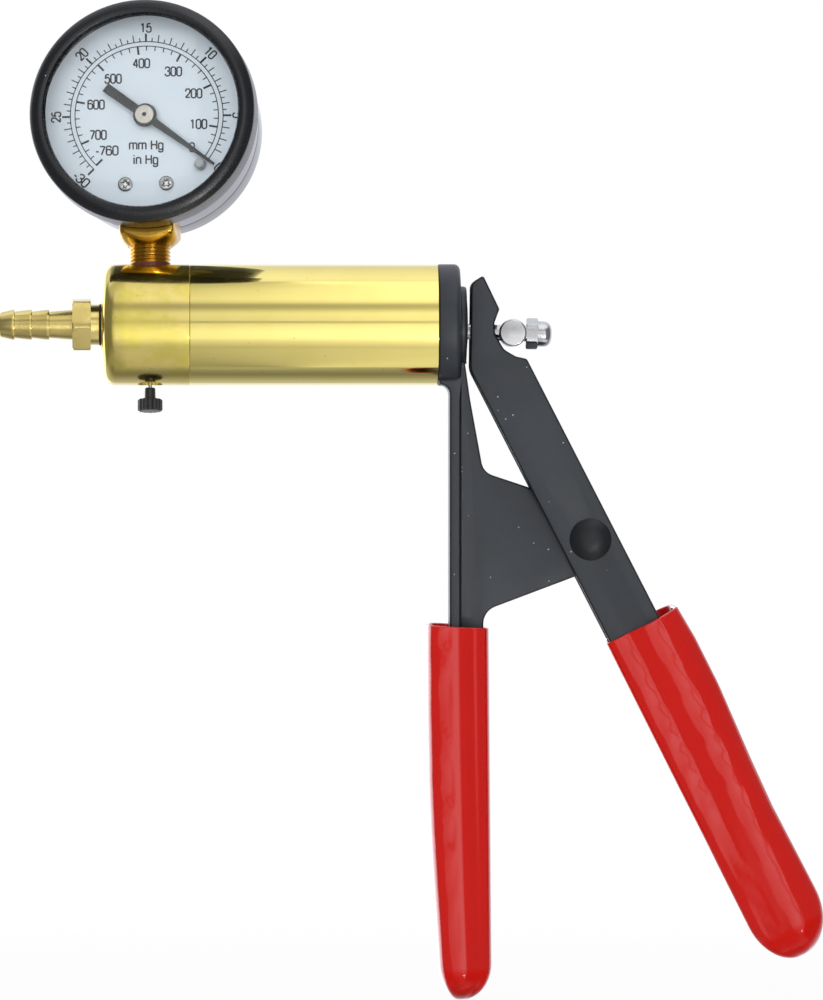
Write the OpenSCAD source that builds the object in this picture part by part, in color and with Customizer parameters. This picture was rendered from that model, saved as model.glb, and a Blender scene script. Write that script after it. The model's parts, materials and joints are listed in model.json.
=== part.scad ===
// Hand vacuum pump with a dial gauge, a hose barb and a squeeze lever.
// +X runs along the barrel from the barb to the handles, +Z is up, -Y faces the reader of the dial.
// The origin is on the barrel axis, in the middle of the hose barb's crests.

/* [Hose barb] */
// Radius of the barb's crests
barb_crest_r = 3.75; // [3.6:0.05:4.5]
// Radius at the foot of each tooth
barb_foot_r = 3.3; // [2.8:0.05:3.5]
// Radius of the open tip
barb_tip_r = 3; // [2.7:0.05:3.2]
// Distance from one crest to the next
barb_pitch = 4.33; // [3.5:0.01:6]
// Length of the flat land on each crest
barb_land = 0.6; // [0.4:0.05:1]
// Length of the taper from the tip to the first land
barb_lead = 3.17; // [2:0.01:5]
// Length of the plain taper from the last crest to the hexagon
barb_taper_len = 5.82; // [4:0.01:10]
// Radius of the plain taper where it meets the hexagon
barb_root_r = 3.8; // [3.6:0.05:5]
// Radius of the airway through the barb
barb_bore_r = 2; // [1.2:0.1:2.4]
// Hexagon across its flats
barb_hex_af = 12.5; // [12:0.5:17]
// Length of the hexagon
barb_hex_len = 4.55; // [3:0.05:7]
// Turn of the hexagon about the barrel axis in degrees
barb_hex_turn = -6; // [-30:1:30]
// Radius of the plain neck behind the hexagon
barb_neck_r = 5.05; // [4.9:0.05:5.8]
// Length of the plain neck
barb_neck_len = 2.2; // [1:0.1:4]
// Length of the threaded end inside the head
barb_thread_len = 8; // [5:0.1:8.2]
// Thickness of the seal between the barb and the head
barb_seal_t = 0.4; // [0.3:0.1:1]

/* [Head] */
// Length of the head that shows
head_len = 22.1; // [20:0.1:30]
// Rounding of the head's outer corner
head_corner = 3; // [1:0.1:4]
// Height of the slight dome on the head's end
head_dome = 0.4; // [0:0.1:1]
// How far the head is turned on the barrel in degrees, the gauge leaning away from its reader
head_clock = 9; // [0:0.5:20]
// Length of the head that plugs into the barrel
head_spigot_len = 6; // [5:0.1:9]
// Distance from the head's end to the gauge port and the release valve
port_inset = 12.2; // [11.5:0.1:13.5]
// Radius of the air chamber in the head
air_r = 3.6; // [2.8:0.1:4.2]
// Thickness of the wall that carries the inlet valve
valve_wall = 6; // [5:0.1:7]
// Radius of the recess round the inlet valve
valve_recess_r = 6.2; // [5.9:0.1:8]
// Depth of the recess round the inlet valve
valve_recess = 2.5; // [1.6:0.1:3.5]
// Radius of the inlet valve's rubber disc
valve_r = 5.2; // [4.5:0.1:5.6]
// Thickness of the inlet valve's rubber disc
valve_t = 0.9; // [0.6:0.1:1.4]
// Section radius of the sealing ring on the head's spigot
head_ring_r = 0.72; // [0.5:0.02:0.9]

/* [Barrel] */
// Outer radius of the barrel
barrel_r = 15.1; // [14.5:0.1:16.5]
// Wall of the barrel
barrel_wall = 2; // [1.5:0.1:2.5]
// Length of the barrel that shows
barrel_len = 61.9; // [58:0.1:90]

/* [Frame casting] */
// How far the cap stands proud of the barrel all round
cap_proud = 0.1; // [0.1:0.05:1]
// Thickness of the cap behind the barrel
cap_t = 5.55; // [4.5:0.05:9]
// Rounding of the cap's rear corner
cap_corner = 1.5; // [0.5:0.1:2]
// Length of the cap that plugs into the barrel
cap_spigot_len = 5; // [4:0.1:8]
// Radius of the boss on the cap's rear face
boss_r = 9.65; // [8:0.05:12]
// Height of the boss
boss_t = 1.95; // [1:0.05:2.2]
// Radius of the hole that the rod swings in
rod_hole_r = 4.1; // [4:0.1:5]
// Thickness of the arm's flange
arm_t = 2.7; // [2:0.1:4]
// Width of the arm's flange across the tool
arm_w = 13; // [11:0.5:14]
// Thickness of the web and the pivot ear
web_t = 5; // [4:0.1:6.5]
// Distance from the cap's rear face to the lever pivot
pivot_reach = 32.45; // [31:0.1:36]
// Distance of the lever pivot below the barrel axis
pivot_drop = 53.6; // [52:0.1:58]
// Radius of the ear's end round the pivot
ear_r = 4.2; // [3.8:0.1:4.25]
// Width of the ear's boss across the tool
ear_w = 7.4; // [6.5:0.1:7.6]

/* [Handles] */
// Distance of the fixed grip's mouth below the barrel axis
grip_mouth = 75; // [74.5:0.5:79]
// Length of the fixed grip
grip_len = 93.75; // [85:0.25:110]
// Reach of the fixed grip's palm side from the arm's front face
palm_reach = 8.75; // [8:0.05:10]
// Reach of the fixed grip's finger side from the arm's front face
finger_reach = 7.3; // [7:0.05:9]
// How far the palm side curves in towards the grip's end
palm_curve = 2.9; // [1:0.1:3.2]
// Half width of the fixed grip across the tool
palm_half_w = 9.5; // [9:0.1:11]
// Half width of the fixed grip's thin finger side
finger_half_w = 4.4; // [4:0.1:5]
// Lean of the lever from upright in degrees
lever_lean = 27.2; // [26:0.2:29]
// Distance from the pivot to the lever's finger edge
lever_finger_edge = 7.4; // [6.5:0.1:7.6]
// Distance from the pivot to the lever's palm edge
lever_palm_edge = 6.5; // [6.4:0.1:7.5]
// Sheet thickness of the lever
lever_t = 2; // [1.2:0.1:2]
// Width of the lever across the tool
lever_w = 12; // [12:0.1:12.4]
// Distance along the lever from the pivot to the grip's mouth
lever_mouth = 24.4; // [23:0.2:30]
// Length of the lever's grip
lever_grip_len = 93; // [85:0.5:110]
// Half width of the lever's grip across the tool
lever_grip_half_w = 8; // [7.9:0.1:10]
// Thickness of the dipped coating
grip_wall = 1; // [0.8:0.1:1.1]
// Thickness of the dipped coating at a grip's closed end
grip_end_wall = 6; // [5:0.5:8]
// Gap between a handle's end and the inside of its grip
grip_end_gap = 3; // [2:0.5:6]

/* [Lever linkage] */
// Gap between the cap's boss and the lever at rest
lever_gap = 0.45; // [0.35:0.05:1]
// Distance from the cap's rear face to the cross pin
pin_reach = 13.1; // [12.9:0.1:14]
// Drop of the cross pin below the barrel axis at rest
pin_drop = 2.03; // [1.7:0.01:2.2]
// Radius of the cross pin
pin_r = 3.4; // [3:0.1:3.6]
// Length of the cross pin across the tool
pin_len = 14; // [12.5:0.1:16]
// Radius of the piston rod
rod_r = 2; // [1.7:0.05:2.1]
// Length of the rod from the cross pin to the middle of its head
rod_len = 68.25; // [60:0.05:70]
// Radius of the rod's head in the piston
rod_head_r = 6; // [5.6:0.1:6.4]
// Thickness of the rod's head
rod_head_t = 2.2; // [1.5:0.1:3]
// Sideways float of the rod's head in the piston
rod_float = 1.6; // [1.5:0.1:2]
// Acorn nut across its flats
nut_af = 7; // [6.5:0.1:8]
// Length of the acorn nut's hexagon
nut_hex_len = 2.95; // [2:0.05:4]
// Radius of the acorn nut's dome
nut_dome_r = 3.2; // [2.8:0.1:3.25]
// Radius of the pivot rivet's shank
rivet_r = 2.4; // [2:0.1:2.6]
// Radius of the pivot rivet's domed heads
rivet_head_r = 5.25; // [4.5:0.05:6]
// Height of the pivot rivet's domed heads
rivet_head_h = 1.9; // [1.2:0.1:2.4]

/* [Piston] */
// Thickness of the piston's front wall
piston_wall = 3.9; // [3:0.1:5]
// Length of the piston behind the rod head's pocket
piston_tail = 3; // [2.6:0.1:5]
// Radial gap between the piston and the barrel
piston_gap = 0.2; // [0.1:0.05:0.5]
// Depth of the cup seal's groove
cup_groove = 2.3; // [1.8:0.1:2.6]
// Length of the cup seal's groove
cup_len = 4.6; // [3.5:0.1:5]
// Thickness of the plate that holds the rod's head
keeper_t = 1.2; // [0.8:0.1:1.5]
// Wire radius of the return spring
spring_wire_r = 0.65; // [0.4:0.05:0.8]
// Mean radius of the return spring
spring_r = 11; // [10:0.1:11.6]
// Turns of the return spring
spring_turns = 6; // [4:0.5:7]

/* [Release valve] */
// Gap between the head and the knob, and so the push that opens the valve
release_gap = 0.9; // [0.8:0.05:2]
// Radius of the knob's neck
knob_neck_r = 1.3; // [1.1:0.1:2]
// Length of the knob's neck
knob_neck_len = 2.9; // [2:0.1:5]
// Radius of the knob's ribbed head
knob_r = 3.1; // [2.6:0.1:4]
// Height of the knob's ribbed head
knob_h = 3; // [2.5:0.1:6]
// Ribs round the knob
knob_ribs = 12; // [8:1:16]
// Radius of the valve stem
valve_stem_r = 0.5; // [0.4:0.05:0.6]
// Depth of the spot face that the stem comes out of
spot_depth = 1; // [0.8:0.1:1.5]
// Radius of the spot face
spot_r = 3; // [2.9:0.1:4]

/* [Gauge] */
// Height of the dial's centre above the barrel axis, along the gauge's stem
gauge_h = 51.5; // [50.5:0.1:60]
// Turn of the gauge about its stem in degrees
gauge_turn = 8; // [0:0.5:15]
// Outer radius of the bezel
bezel_r = 28.3; // [28.1:0.1:29]
// Radius of the bezel's opening
bezel_open_r = 24.2; // [23:0.1:24.6]
// Outer radius of the case
case_r = 26.3; // [26:0.1:26.6]
// Wall of the case
case_wall = 1.2; // [0.8:0.1:1.4]
// Distance of the case's back from the stem's axis
case_back = 15.8; // [11:0.1:18]
// Width of the square socket block
socket_w = 14; // [13:0.1:15]
// Height of the socket block that shows below the case
socket_drop = 5.4; // [4:0.1:6]
// Outer radius of the stem's pipe thread
stem_r = 5.1; // [4.9:0.05:5.6]
// Pitch of the stem's pipe thread
stem_pitch = 0.94; // [0.8:0.01:1.5]
// Depth of the stem's pipe thread
stem_groove = 0.45; // [0.2:0.05:0.5]
// Thickness of the dial plate
dial_t = 0.5; // [0.4:0.1:1]
// Thickness of the lens
lens_t = 1.6; // [1:0.1:2]
// Gap between the dial and the lens
lens_gap = 6; // [3.6:0.1:7]
// Length of the pointer from its centre to its tip
pointer_len = 21.2; // [16:0.1:22]
// Length of the pointer's tail
pointer_tail = 12.1; // [6:0.1:13]
// Angle of the pointer at rest in degrees, counted from the right-hand side
pointer_rest = -36.5; // [-45:0.5:-30]
// Radius of the pointer's cap
hub_r = 2.4; // [1.8:0.1:3]
// Teeth of the pinion
pinion_teeth = 10; // [8:1:12]
// Teeth of the sector gear's full circle
sector_teeth = 100; // [96:1:104]
// Module of the gears
gear_module = 0.25; // [0.24:0.01:0.26]
// Mean radius of the curved pressure tube
tube_r = 20.5; // [20.3:0.1:21]

/* [Hidden] */
$fn = 64;

// Clearances
press = 0.05;
running = 0.05;
slack = 0.3;
over = 0.5;
// Least gap between the head and the parked piston
piston_park = 0.3;
// Least wall of the bezel's skirt, and least lip that it lays over the lens
bezel_wall = 1.9;
lens_hold = 1.5;
// How far the thread seal stands out of the head, and how deep it sits
seal_proud = 0.05;
seal_sink = 1.2;

// Places along the barrel, measured from the middle of the barb's crests
barb_first = -barb_pitch - barb_land / 2;
barb_tip_x = barb_first - barb_lead;
barb_last = barb_pitch + barb_land / 2;
hex_x = barb_last + barb_taper_len;
neck_x = hex_x + barb_hex_len;
seal_x = neck_x + barb_neck_len;
head_x = seal_x + barb_seal_t;
barrel_x = head_x + head_len;
spigot_x = barrel_x + head_spigot_len;
cap_x = barrel_x + barrel_len;
rod_droop = asin(pin_drop / rod_len);
rod_run = rod_len * cos(rod_droop);
rod_room = piston_park + piston_wall + slack + rod_head_t / 2 + rod_run;
// The cap grows behind the barrel where a long rod needs the room
cap_back = max(cap_x + cap_t, spigot_x + rod_room - pin_reach);
boss_back = cap_back + boss_t;
spring_seat_x = cap_x - cap_spigot_len;
port_x = head_x + port_inset;
barb_end_x = head_x + barb_thread_len;
barrel_bore = barrel_r - barrel_wall;
spigot_r = barrel_bore - press;
cap_r = barrel_r + cap_proud;
recess_x = spigot_x - valve_recess;
air_end_x = recess_x - valve_wall;
air_start_x = barb_end_x + slack;
barb_thread_r = barb_neck_r - stem_groove + 0.1;
hex_chamfer = 0.5;

// Lever pivot, cross pin and rod
pivot = [cap_back + pivot_reach, -pivot_drop];
pin = [cap_back + pin_reach, -pin_drop];
rod_head_x = pin.x - rod_run;
nut_start = pin_r + press;
nut_len = nut_hex_len + nut_dome_r;
lever_edge_x = boss_back + lever_gap;
lever_gap_half = lever_w / 2 - lever_t;
lever_along = [sin(lever_lean), -cos(lever_lean)];
lever_across = [cos(lever_lean), sin(lever_lean)];
lever_end = lever_mouth + lever_grip_len - grip_end_wall - grip_end_gap;

// Arm and grips
arm_back = cap_back;
arm_front = arm_back - arm_t;
palm_x = arm_back - palm_reach;
finger_x = arm_back + finger_reach;
lobe_a = 5.9;
lobe_x = palm_x + lobe_a;
core_end = grip_mouth + grip_len - grip_end_wall - grip_end_gap;
finger_core_x = finger_x - 1.5;
palm_core_x = palm_x + 1.7;
grip_sides = 32;

// Piston
piston_r = barrel_bore - piston_gap;
pocket_r = rod_head_r + rod_float + slack;
pocket_start = rod_head_x - rod_head_t / 2 - slack;
pocket_end = rod_head_x + rod_head_t / 2 + slack;
piston_x = pocket_start - piston_wall;
piston_back = pocket_end + piston_tail;
keeper_hole_r = rod_r + rod_float + slack;
keeper_r = pocket_r - press;
ring_t = 0.9;
ring_x = pocket_end + keeper_t;
ring_r = pocket_r + 0.7;
cup_x = piston_x + 1;
cup_floor_r = piston_r - cup_groove;

// Release valve, along the stem's axis below the barrel axis
spot_z = -barrel_r + spot_depth;
knob_top = -barrel_r - release_gap;
knob_foot = knob_top - knob_neck_len;
poppet_r = 1.6;
poppet_t = 1.15;
poppet_seat = -air_r - 1;
seat_hole_r = 0.9;
seat_wall = 1.4;
spring_room_r = 2.5;
spring_room_top = poppet_seat - seat_wall;
bush_len = 2.5;
bush_top = spot_z + bush_len;
release_push = 1.5;
collar_z = bush_top + 0.8;
collar_t = 0.6;
collar_r = 1.9;
stem_grip = 1.5;
release_wire_r = 0.2;
release_spring_r = 1.5;
release_turns = 4;

// Gauge, measured out of the dial from the stem's axis
socket_half = socket_w / 2;
dial_back = socket_half;
dial_face = dial_back + dial_t;
lens_back = dial_face + lens_gap;
lens_front = lens_back + lens_t;
gasket_t = 1;
case_front = lens_back - gasket_t;
bezel_lip = 1.7;
bezel_front = lens_front + bezel_lip;
bezel_back = socket_half + slack;
// The case steps in under the bezel where the bezel is the smaller of the two
rim_r = min(case_r, bezel_r - bezel_wall - press);
case_bore = rim_r - case_wall;
lens_r = rim_r - slack;
open_r = min(bezel_open_r, lens_r - lens_hold);
pointer_t = 0.4;
pointer_z = dial_face + 1.5;
cap_h = 1;
screw_x = 5;
screw_drop = 16.6;
screw_head_r = 1.75;
screw_r = 0.9;
stop_pin_r = 1.36;
pointer_half_tip = 0.3;
pointer_half_hub = 1.05;
pointer_half_tail = 1.2;
case_low = gauge_h - case_r;
socket_foot = max(case_low - socket_drop, barrel_r + seal_proud + slack);
socket_top = gauge_h - 13;
tongue_top = 4;
tongue_half = 3.9;
tongue_half_w = 5;
stem_end = 7.5;
port_r = stem_r - stem_groove + press;
arbor_r = 0.6;
plate_t = 1;
gear_t = 1.2;
pinion_r = pinion_teeth * gear_module / 2;
sector_r = sector_teeth * gear_module / 2;
sector_x = pinion_r + sector_r;
tooth_deg = 360 / sector_teeth;
link_tail = 5.6;
tail_x = sector_x + link_tail;
link_pin_r = 0.5;
tube_half_w = 3.5;
tube_half_t = 1;
tube_tip = 28;
plate_left = 8;
plate_left_top = 6.5;
plate_peak_x = 12.5;
plate_peak = 8.5;
plate_past = 3;
plate_half = 4;
plate_corner = 2;
post_places = [[2 - plate_left, plate_left_top - 3], [plate_peak_x - 1, plate_peak - 2.2]];
post_r = 1;
move_screw_r = 0.7;

// Unit vector of v
function unit(v) = v / norm(v);
// Point on the lever, u along it from the pivot and v across it towards the palm
function on_lever(u, v) = pivot + u * lever_along + v * lever_across;
// Point of an arc
function round_point(c, r, a) = c + r * [cos(a), sin(a)];
// Smallest turn that leads from angle a to angle b
function short_turn(a, b) = let (d = b - a) d - 360 * round(d / 360);
// The corner at b between a and c, rounded to radius r
function corner(a, b, c, r, steps = 6) =
  r == 0 ? [b] :
  let (
    u = unit(a - b),
    v = unit(c - b),
    half = acos(u * v) / 2,
    centre = b + unit(u + v) * r / sin(half),
    p = b + u * r / tan(half) - centre,
    q = b + v * r / tan(half) - centre,
    start = atan2(p.y, p.x),
    turn = short_turn(start, atan2(q.y, q.x))
  )
  [for (i = [0:steps]) round_point(centre, r, start + turn * i / steps)];
// Outline through corners given as [x, y, radius]
function outline(list) = [
  for (i = [0:len(list) - 1])
    let (
      n = len(list),
      a = list[(i + n - 1) % n],
      b = list[i],
      c = list[(i + 1) % n]
    )
    each corner([a.x, a.y], [b.x, b.y], [c.x, c.y], b.z)
];
// A flat corner [x, y, radius] from a point and a radius
function knot(p, r = 0) = [p.x, p.y, r];
// Triangles that join rings of n points each, with both ends closed
function skin(rings, n) = [
  for (i = [0:rings - 2], j = [0:n - 1])
    let (a = i * n + j, b = i * n + (j + 1) % n)
    each [[a, b, a + n], [b, b + n, a + n]],
  for (j = [1:n - 2]) each [[0, j + 1, j], [(rings - 1) * n, (rings - 1) * n + j, (rings - 1) * n + j + 1]],
];

// Solid of revolution about X from corners [x, radius]
module turned(profile) {
  rotate([0, 90, 0])
    rotate_extrude()
      polygon([for (p = profile) [p.y, p.x]]);
}

// Solid of revolution about Z from corners [radius, z]
module lathe(profile) {
  rotate_extrude()
    polygon(profile);
}

// Flat outline in X and Z, drawn to a width across the tool
module across(width) {
  rotate([90, 0, 0])
    linear_extrude(height = width, center = true)
      children();
}

// Cylinder across the tool at a place in X and Z
module cross_rod(place, r, width) {
  translate([place.x, 0, place.y])
    rotate([90, 0, 0])
      cylinder(r = r, h = width, center = true);
}

// Cylinder along X from a to b
module along_x(a, b, r) {
  translate([a, 0, 0])
    rotate([0, 90, 0])
      cylinder(r = r, h = b - a);
}

// Hexagonal bar along X from a to b, with its end corners turned off
module hex_bar(a, b, flats, turn) {
  radius = flats / 2 / cos(30);
  intersection() {
    translate([a, 0, 0])
      rotate([turn, 0, 0])
        rotate([0, 90, 0])
          cylinder(r = radius, h = b - a, $fn = 6);
    turned([
      [a, 0], [a, radius - hex_chamfer], [a + hex_chamfer, radius + 0.1],
      [b - hex_chamfer, radius + 0.1], [b, radius - hex_chamfer], [b, 0],
    ]);
  }
}

// Frame of the head: turned on the barrel
module in_head() {
  rotate([-head_clock, 0, 0])
    children();
}

// Frame of the gauge's stem: Z along the stem from the barrel axis, -Y out of the dial
module in_stem() {
  in_head()
    translate([port_x, 0, 0])
      rotate([0, 0, -gauge_turn])
        children();
}

// Frame of the release valve: Z along its stem from the barrel axis
module in_release() {
  in_head()
    translate([port_x, 0, 0])
      children();
}

// Frame of the dial: X to the right, Y up, Z out of the dial
module in_dial() {
  in_stem()
    translate([0, 0, gauge_h])
      rotate([90, 0, 0])
        children();
}

// Frame of the rod: X along the rod from the cross pin
module in_rod() {
  translate([pin.x, 0, pin.y])
    rotate([0, rod_droop, 0])
      children();
}

// Wire wound round Z from z = 0 to height, with a flat first and last turn
module coil(mean_r, wire_r, height, turns, per_turn = 24, sides = 6) {
  count = ceil(turns * per_turn);
  rise = height - 2 * wire_r;
  rings = [
    for (i = [0:count])
      let (
        s = i / count,
        a = 360 * turns * s,
        z = wire_r + rise * s,
        n = [cos(a), sin(a), 0]
      )
      for (j = [0:sides - 1])
        mean_r * n + [0, 0, z] + wire_r * (cos(360 * j / sides) * n + sin(360 * j / sides) * [0, 0, 1])
  ];
  polyhedron(points = rings, faces = [for (f = skin(count + 1, sides)) [f.x, f.z, f.y]], convexity = 10);
}

// Hose barb: teeth, hexagon, neck and threaded end, with the airway through it
module hose_barb() {
  color("goldenrod")
    difference() {
      union() {
        turned([
          [barb_tip_x, 0], [barb_tip_x, barb_tip_r],
          each [
            for (i = [-1:1])
              let (land = i * barb_pitch - barb_land / 2)
              each [
                [land, barb_crest_r],
                [land + barb_land, barb_crest_r],
                [land + barb_land, barb_foot_r],
              ]
          ],
          [hex_x, barb_root_r], [hex_x, 0],
        ]);
        hex_bar(hex_x, neck_x, barb_hex_af, barb_hex_turn + 30);
        along_x(neck_x - over, seal_x, barb_neck_r);
        along_x(seal_x - over, barb_end_x, barb_thread_r - press);
      }
      along_x(barb_tip_x - 1, barb_end_x + 1, barb_bore_r);
    }
}

// Seal squeezed between the barb's neck and the head
module barb_seal() {
  color("black")
    difference() {
      along_x(seal_x, head_x, barb_neck_r + 0.15);
      along_x(seal_x - 1, head_x + 1, barb_thread_r);
    }
}

// Pump head: end cap with the barb port, the air chamber, the gauge port and the release port
module cylinder_head() {
  color("darkgoldenrod")
    difference() {
      turned([
        [head_x + head_dome, 0],
        [head_x, 0], [head_x, barb_neck_r + 1],
        [head_x + head_dome, barrel_r - head_corner],
        each [
          for (a = [0:15:90])
            [
              head_x + head_dome + (head_corner - head_dome) * (1 - cos(a)),
              barrel_r - head_corner * (1 - sin(a))
            ]
        ],
        [barrel_x, barrel_r], [barrel_x, spigot_r],
        [barrel_x + 2, spigot_r], [barrel_x + 2, spigot_r - 2 * head_ring_r],
        [barrel_x + 2.2 + 2 * head_ring_r, spigot_r - 2 * head_ring_r],
        [barrel_x + 2.2 + 2 * head_ring_r, spigot_r],
        [spigot_x, spigot_r], [spigot_x, 0],
      ]);
      along_x(head_x - 1, air_start_x, barb_thread_r);
      along_x(air_start_x - over, air_end_x, air_r);
      along_x(recess_x, spigot_x + 1, valve_recess_r);
      along_x(air_end_x - 1, recess_x + 1, valve_stem_hole_r());
      for (a = [45:90:315])
        rotate([a, 0, 0])
          translate([0, 0, valve_hole_place()])
            along_x(air_end_x - 1, recess_x + 1, valve_hole_r());
      in_release() {
        translate([0, 0, stem_end - slack])
          cylinder(r = port_r, h = barrel_r);
        cylinder(r = 1.6, h = stem_end);
        translate([0, 0, barrel_r - seal_sink])
          cylinder(r = stem_r + press + 0.1, h = over + 2);
        translate([0, 0, -barrel_r - over])
          cylinder(r = spot_r, h = spot_depth + over);
        translate([0, 0, -barrel_r])
          cylinder(r = spring_room_r, h = barrel_r + spring_room_top);
        translate([0, 0, spring_room_top - over])
          cylinder(r = seat_hole_r, h = seat_wall + 2 * over);
        translate([0, 0, poppet_seat])
          cylinder(r = poppet_r + 0.4, h = -poppet_seat);
      }
    }
}

function valve_stem_hole_r() = 1.15;
function valve_hole_r() = 0.8;
function valve_hole_place() = min(valve_r - 1.8, air_r - valve_hole_r() + 0.4);

// Sealing ring on the head's spigot
module head_ring() {
  color("black")
    translate([barrel_x + 2.1 + head_ring_r, 0, 0])
      rotate([0, 90, 0])
        rotate_extrude()
          translate([spigot_r - head_ring_r, 0])
            circle(r = head_ring_r - 0.02, $fn = 24);
}

// Rubber inlet valve: a disc over four holes, pulled through by its stem
module inlet_valve() {
  bulb_r = valve_stem_hole_r() + 0.5;
  color("black")
    turned([
      [air_end_x - 2, 0], [air_end_x - 1.6, bulb_r - 0.5], [air_end_x - 0.5, bulb_r],
      [air_end_x - press, bulb_r], [air_end_x - press, valve_stem_hole_r() - press],
      [recess_x + press, valve_stem_hole_r() - press], [recess_x + press, valve_r],
      [recess_x + press + 0.3, valve_r], [recess_x + press + valve_t, 2], [recess_x + press + valve_t, 0],
    ]);
}

// Thread seal where the gauge's stem enters the head
module thread_seal() {
  color("sienna")
    in_stem()
      translate([0, 0, barrel_r - seal_sink])
        difference() {
          cylinder(r = stem_r + 0.1, h = seal_sink + seal_proud);
          translate([0, 0, -1])
            cylinder(r = stem_r - stem_groove + press, h = 4);
        }
}

// Barrel: plain tube between the head and the casting's cap
module barrel() {
  color("gold")
    difference() {
      along_x(barrel_x, cap_x, barrel_r);
      along_x(barrel_x - 1, cap_x + 1, barrel_bore);
    }
}

// Outline of the web from the cap down to the pivot ear and into the grip
function web_outline() =
  let (
    ear_top = pivot + [-5, 9.6],
    ear_low = pivot + [-1.6, -8.5],
    throat = [arm_back + 5.85, -36.8],
    armpit = [finger_core_x + 0.1, -grip_mouth + 3.5]
  )
  outline([
    knot([arm_back - 2, -boss_r + 4]),
    knot([arm_back + 1.2, -boss_r + 0.5]),
    knot([arm_back + 2.55, -18.75], 30),
    knot(throat, 4),
    knot(ear_top, 3),
    knot(pivot + ear_r * [cos(45), sin(45)]),
    knot(pivot + ear_r * [cos(-60), sin(-60)]),
    knot(ear_low, 2),
    knot(armpit, 4.5),
    knot([finger_core_x, -grip_mouth - 3]),
    knot([finger_core_x, -core_end], 3),
    knot([palm_core_x + palm_curve, -core_end], 4),
    knot([palm_core_x + palm_curve / 2, -grip_mouth - grip_len * 0.68], 60),
    knot([palm_core_x, -grip_mouth - 9], 3),
    knot([arm_front + 0.5, -grip_mouth - 1.5]),
    knot([arm_front + 0.5, -boss_r + 4]),
  ]);

// Outline of the arm's flange, with the fillet that runs into the cap
function flange_outline() =
  outline([
    knot([cap_x + 0.3, -boss_r]),
    knot([cap_x + 0.3, -cap_r + 0.4]),
    knot([arm_front, -cap_r - 0.2], 2.6),
    knot([arm_front, -core_end], 2),
    knot([arm_back, -core_end]),
    knot([arm_back, -boss_r]),
  ]);

// Frame casting: cap with its spigot and boss, T-shaped arm, pivot ear and handle core
module frame_casting() {
  color("dimgray")
    difference() {
      union() {
        turned([
          [spring_seat_x, 0], [spring_seat_x, spigot_r - 0.5], [spring_seat_x + 0.5, spigot_r],
          [cap_x, spigot_r], [cap_x, cap_r],
          each [
            for (a = [0:15:90])
              [cap_back - cap_corner + cap_corner * sin(a), cap_r - cap_corner * (1 - cos(a))]
          ],
          [cap_back, boss_r], [boss_back - 0.6, boss_r], [boss_back - 0.4, boss_r - 0.3],
          [boss_back, rod_hole_r], [boss_back, 0],
        ]);
        across(arm_w)
          polygon(flange_outline());
        across(web_t)
          polygon(web_outline());
        cross_rod(pivot, ear_r, ear_w);
      }
      along_x(spring_seat_x - 1, boss_back + 1, rod_hole_r);
      cross_rod(pivot, rivet_r + running, ear_w + 1);
    }
}

// Radius at angle a of a rounded rectangle whose corners are squarer for a larger n
function rounded_section(a, half_x, half_y, n) =
  pow(pow(abs(cos(a)) / half_x, n) + pow(abs(sin(a)) / half_y, n), -1 / n);

// Section of the fixed grip, drawn in by wall: a deep palm lobe joined to a thin finger side
function palm_section(a, reach_palm, reach_finger, wall) =
  let (
    reach = cos(a) > 0 ? lobe_a : reach_palm,
    lobe = rounded_section(a, reach - wall, palm_half_w - wall, 2.6),
    bar = cos(a) > 0 ? rounded_section(a, reach_finger - wall, finger_half_w - wall, 6) : 0
  )
  pow(pow(lobe, 8) + pow(bar, 8), 1 / 8);

// How far a grip still reaches at a share s of its length, with a rounded end
function end_round(s, nose) = s < 1 - nose ? 1 : sqrt(max(0.02, 1 - pow((s - 1 + nose) / nose, 2)));

// Shares of a grip's length, inside from the deep end to the mouth and then outside to the closed end
function inner_steps(length) = [1 - grip_end_wall / length, 0.9, 0.75, 0.6, 0.4, 0.2, 0.02, 0];
outer_steps = [0, 0.02, 0.2, 0.4, 0.6, 0.75, 0.86, 0.92, 0.955, 0.975, 0.99, 1];

// Hollow sleeve through rings of points, from the inside's deep end over the mouth to the outside's end
module sleeve(rings) {
  polyhedron(points = [for (ring = rings) each ring], faces = skin(len(rings), grip_sides), convexity = 8);
}

// Ring of the fixed grip at a share s of its length
function palm_ring(s, wall, lip) =
  let (
    shrink = end_round(s, 0.085) * lip,
    palm = lobe_a - palm_curve * pow(s, 2.2),
    finger = finger_x - lobe_x + 0.8 * s
  )
  [
    for (j = [0:grip_sides - 1])
      let (
        a = 360 * j / grip_sides,
        r = palm_section(a, palm, finger, wall) * shrink
      )
      [lobe_x + (1 - shrink) * 2 + r * cos(a), r * sin(a), -grip_mouth - grip_len * s]
  ];

// Fixed grip: dipped coating round the handle core
module fixed_grip() {
  color("firebrick")
    sleeve([
      for (s = inner_steps(grip_len)) palm_ring(s, grip_wall, 1),
      for (s = outer_steps) palm_ring(s, 0, s == 0 ? 0.96 : 1),
    ]);
}

// Rivet that the lever turns on, domed at both ends
module pivot_rivet() {
  dome_r = (pow(rivet_head_r, 2) + pow(rivet_head_h, 2)) / (2 * rivet_head_h);
  face = lever_w / 2 + running;
  color("dimgray")
    translate([pivot.x, 0, pivot.y])
      rotate([90, 0, 0])
        union() {
          cylinder(r = rivet_r, h = 2 * face + 1, center = true);
          for (side = [0, 180])
            rotate([side, 0, 0])
              translate([0, 0, face])
                intersection() {
                  cylinder(r = rivet_head_r, h = rivet_head_h);
                  translate([0, 0, rivet_head_h - dome_r])
                    sphere(r = dome_r);
                }
        }
}

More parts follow.
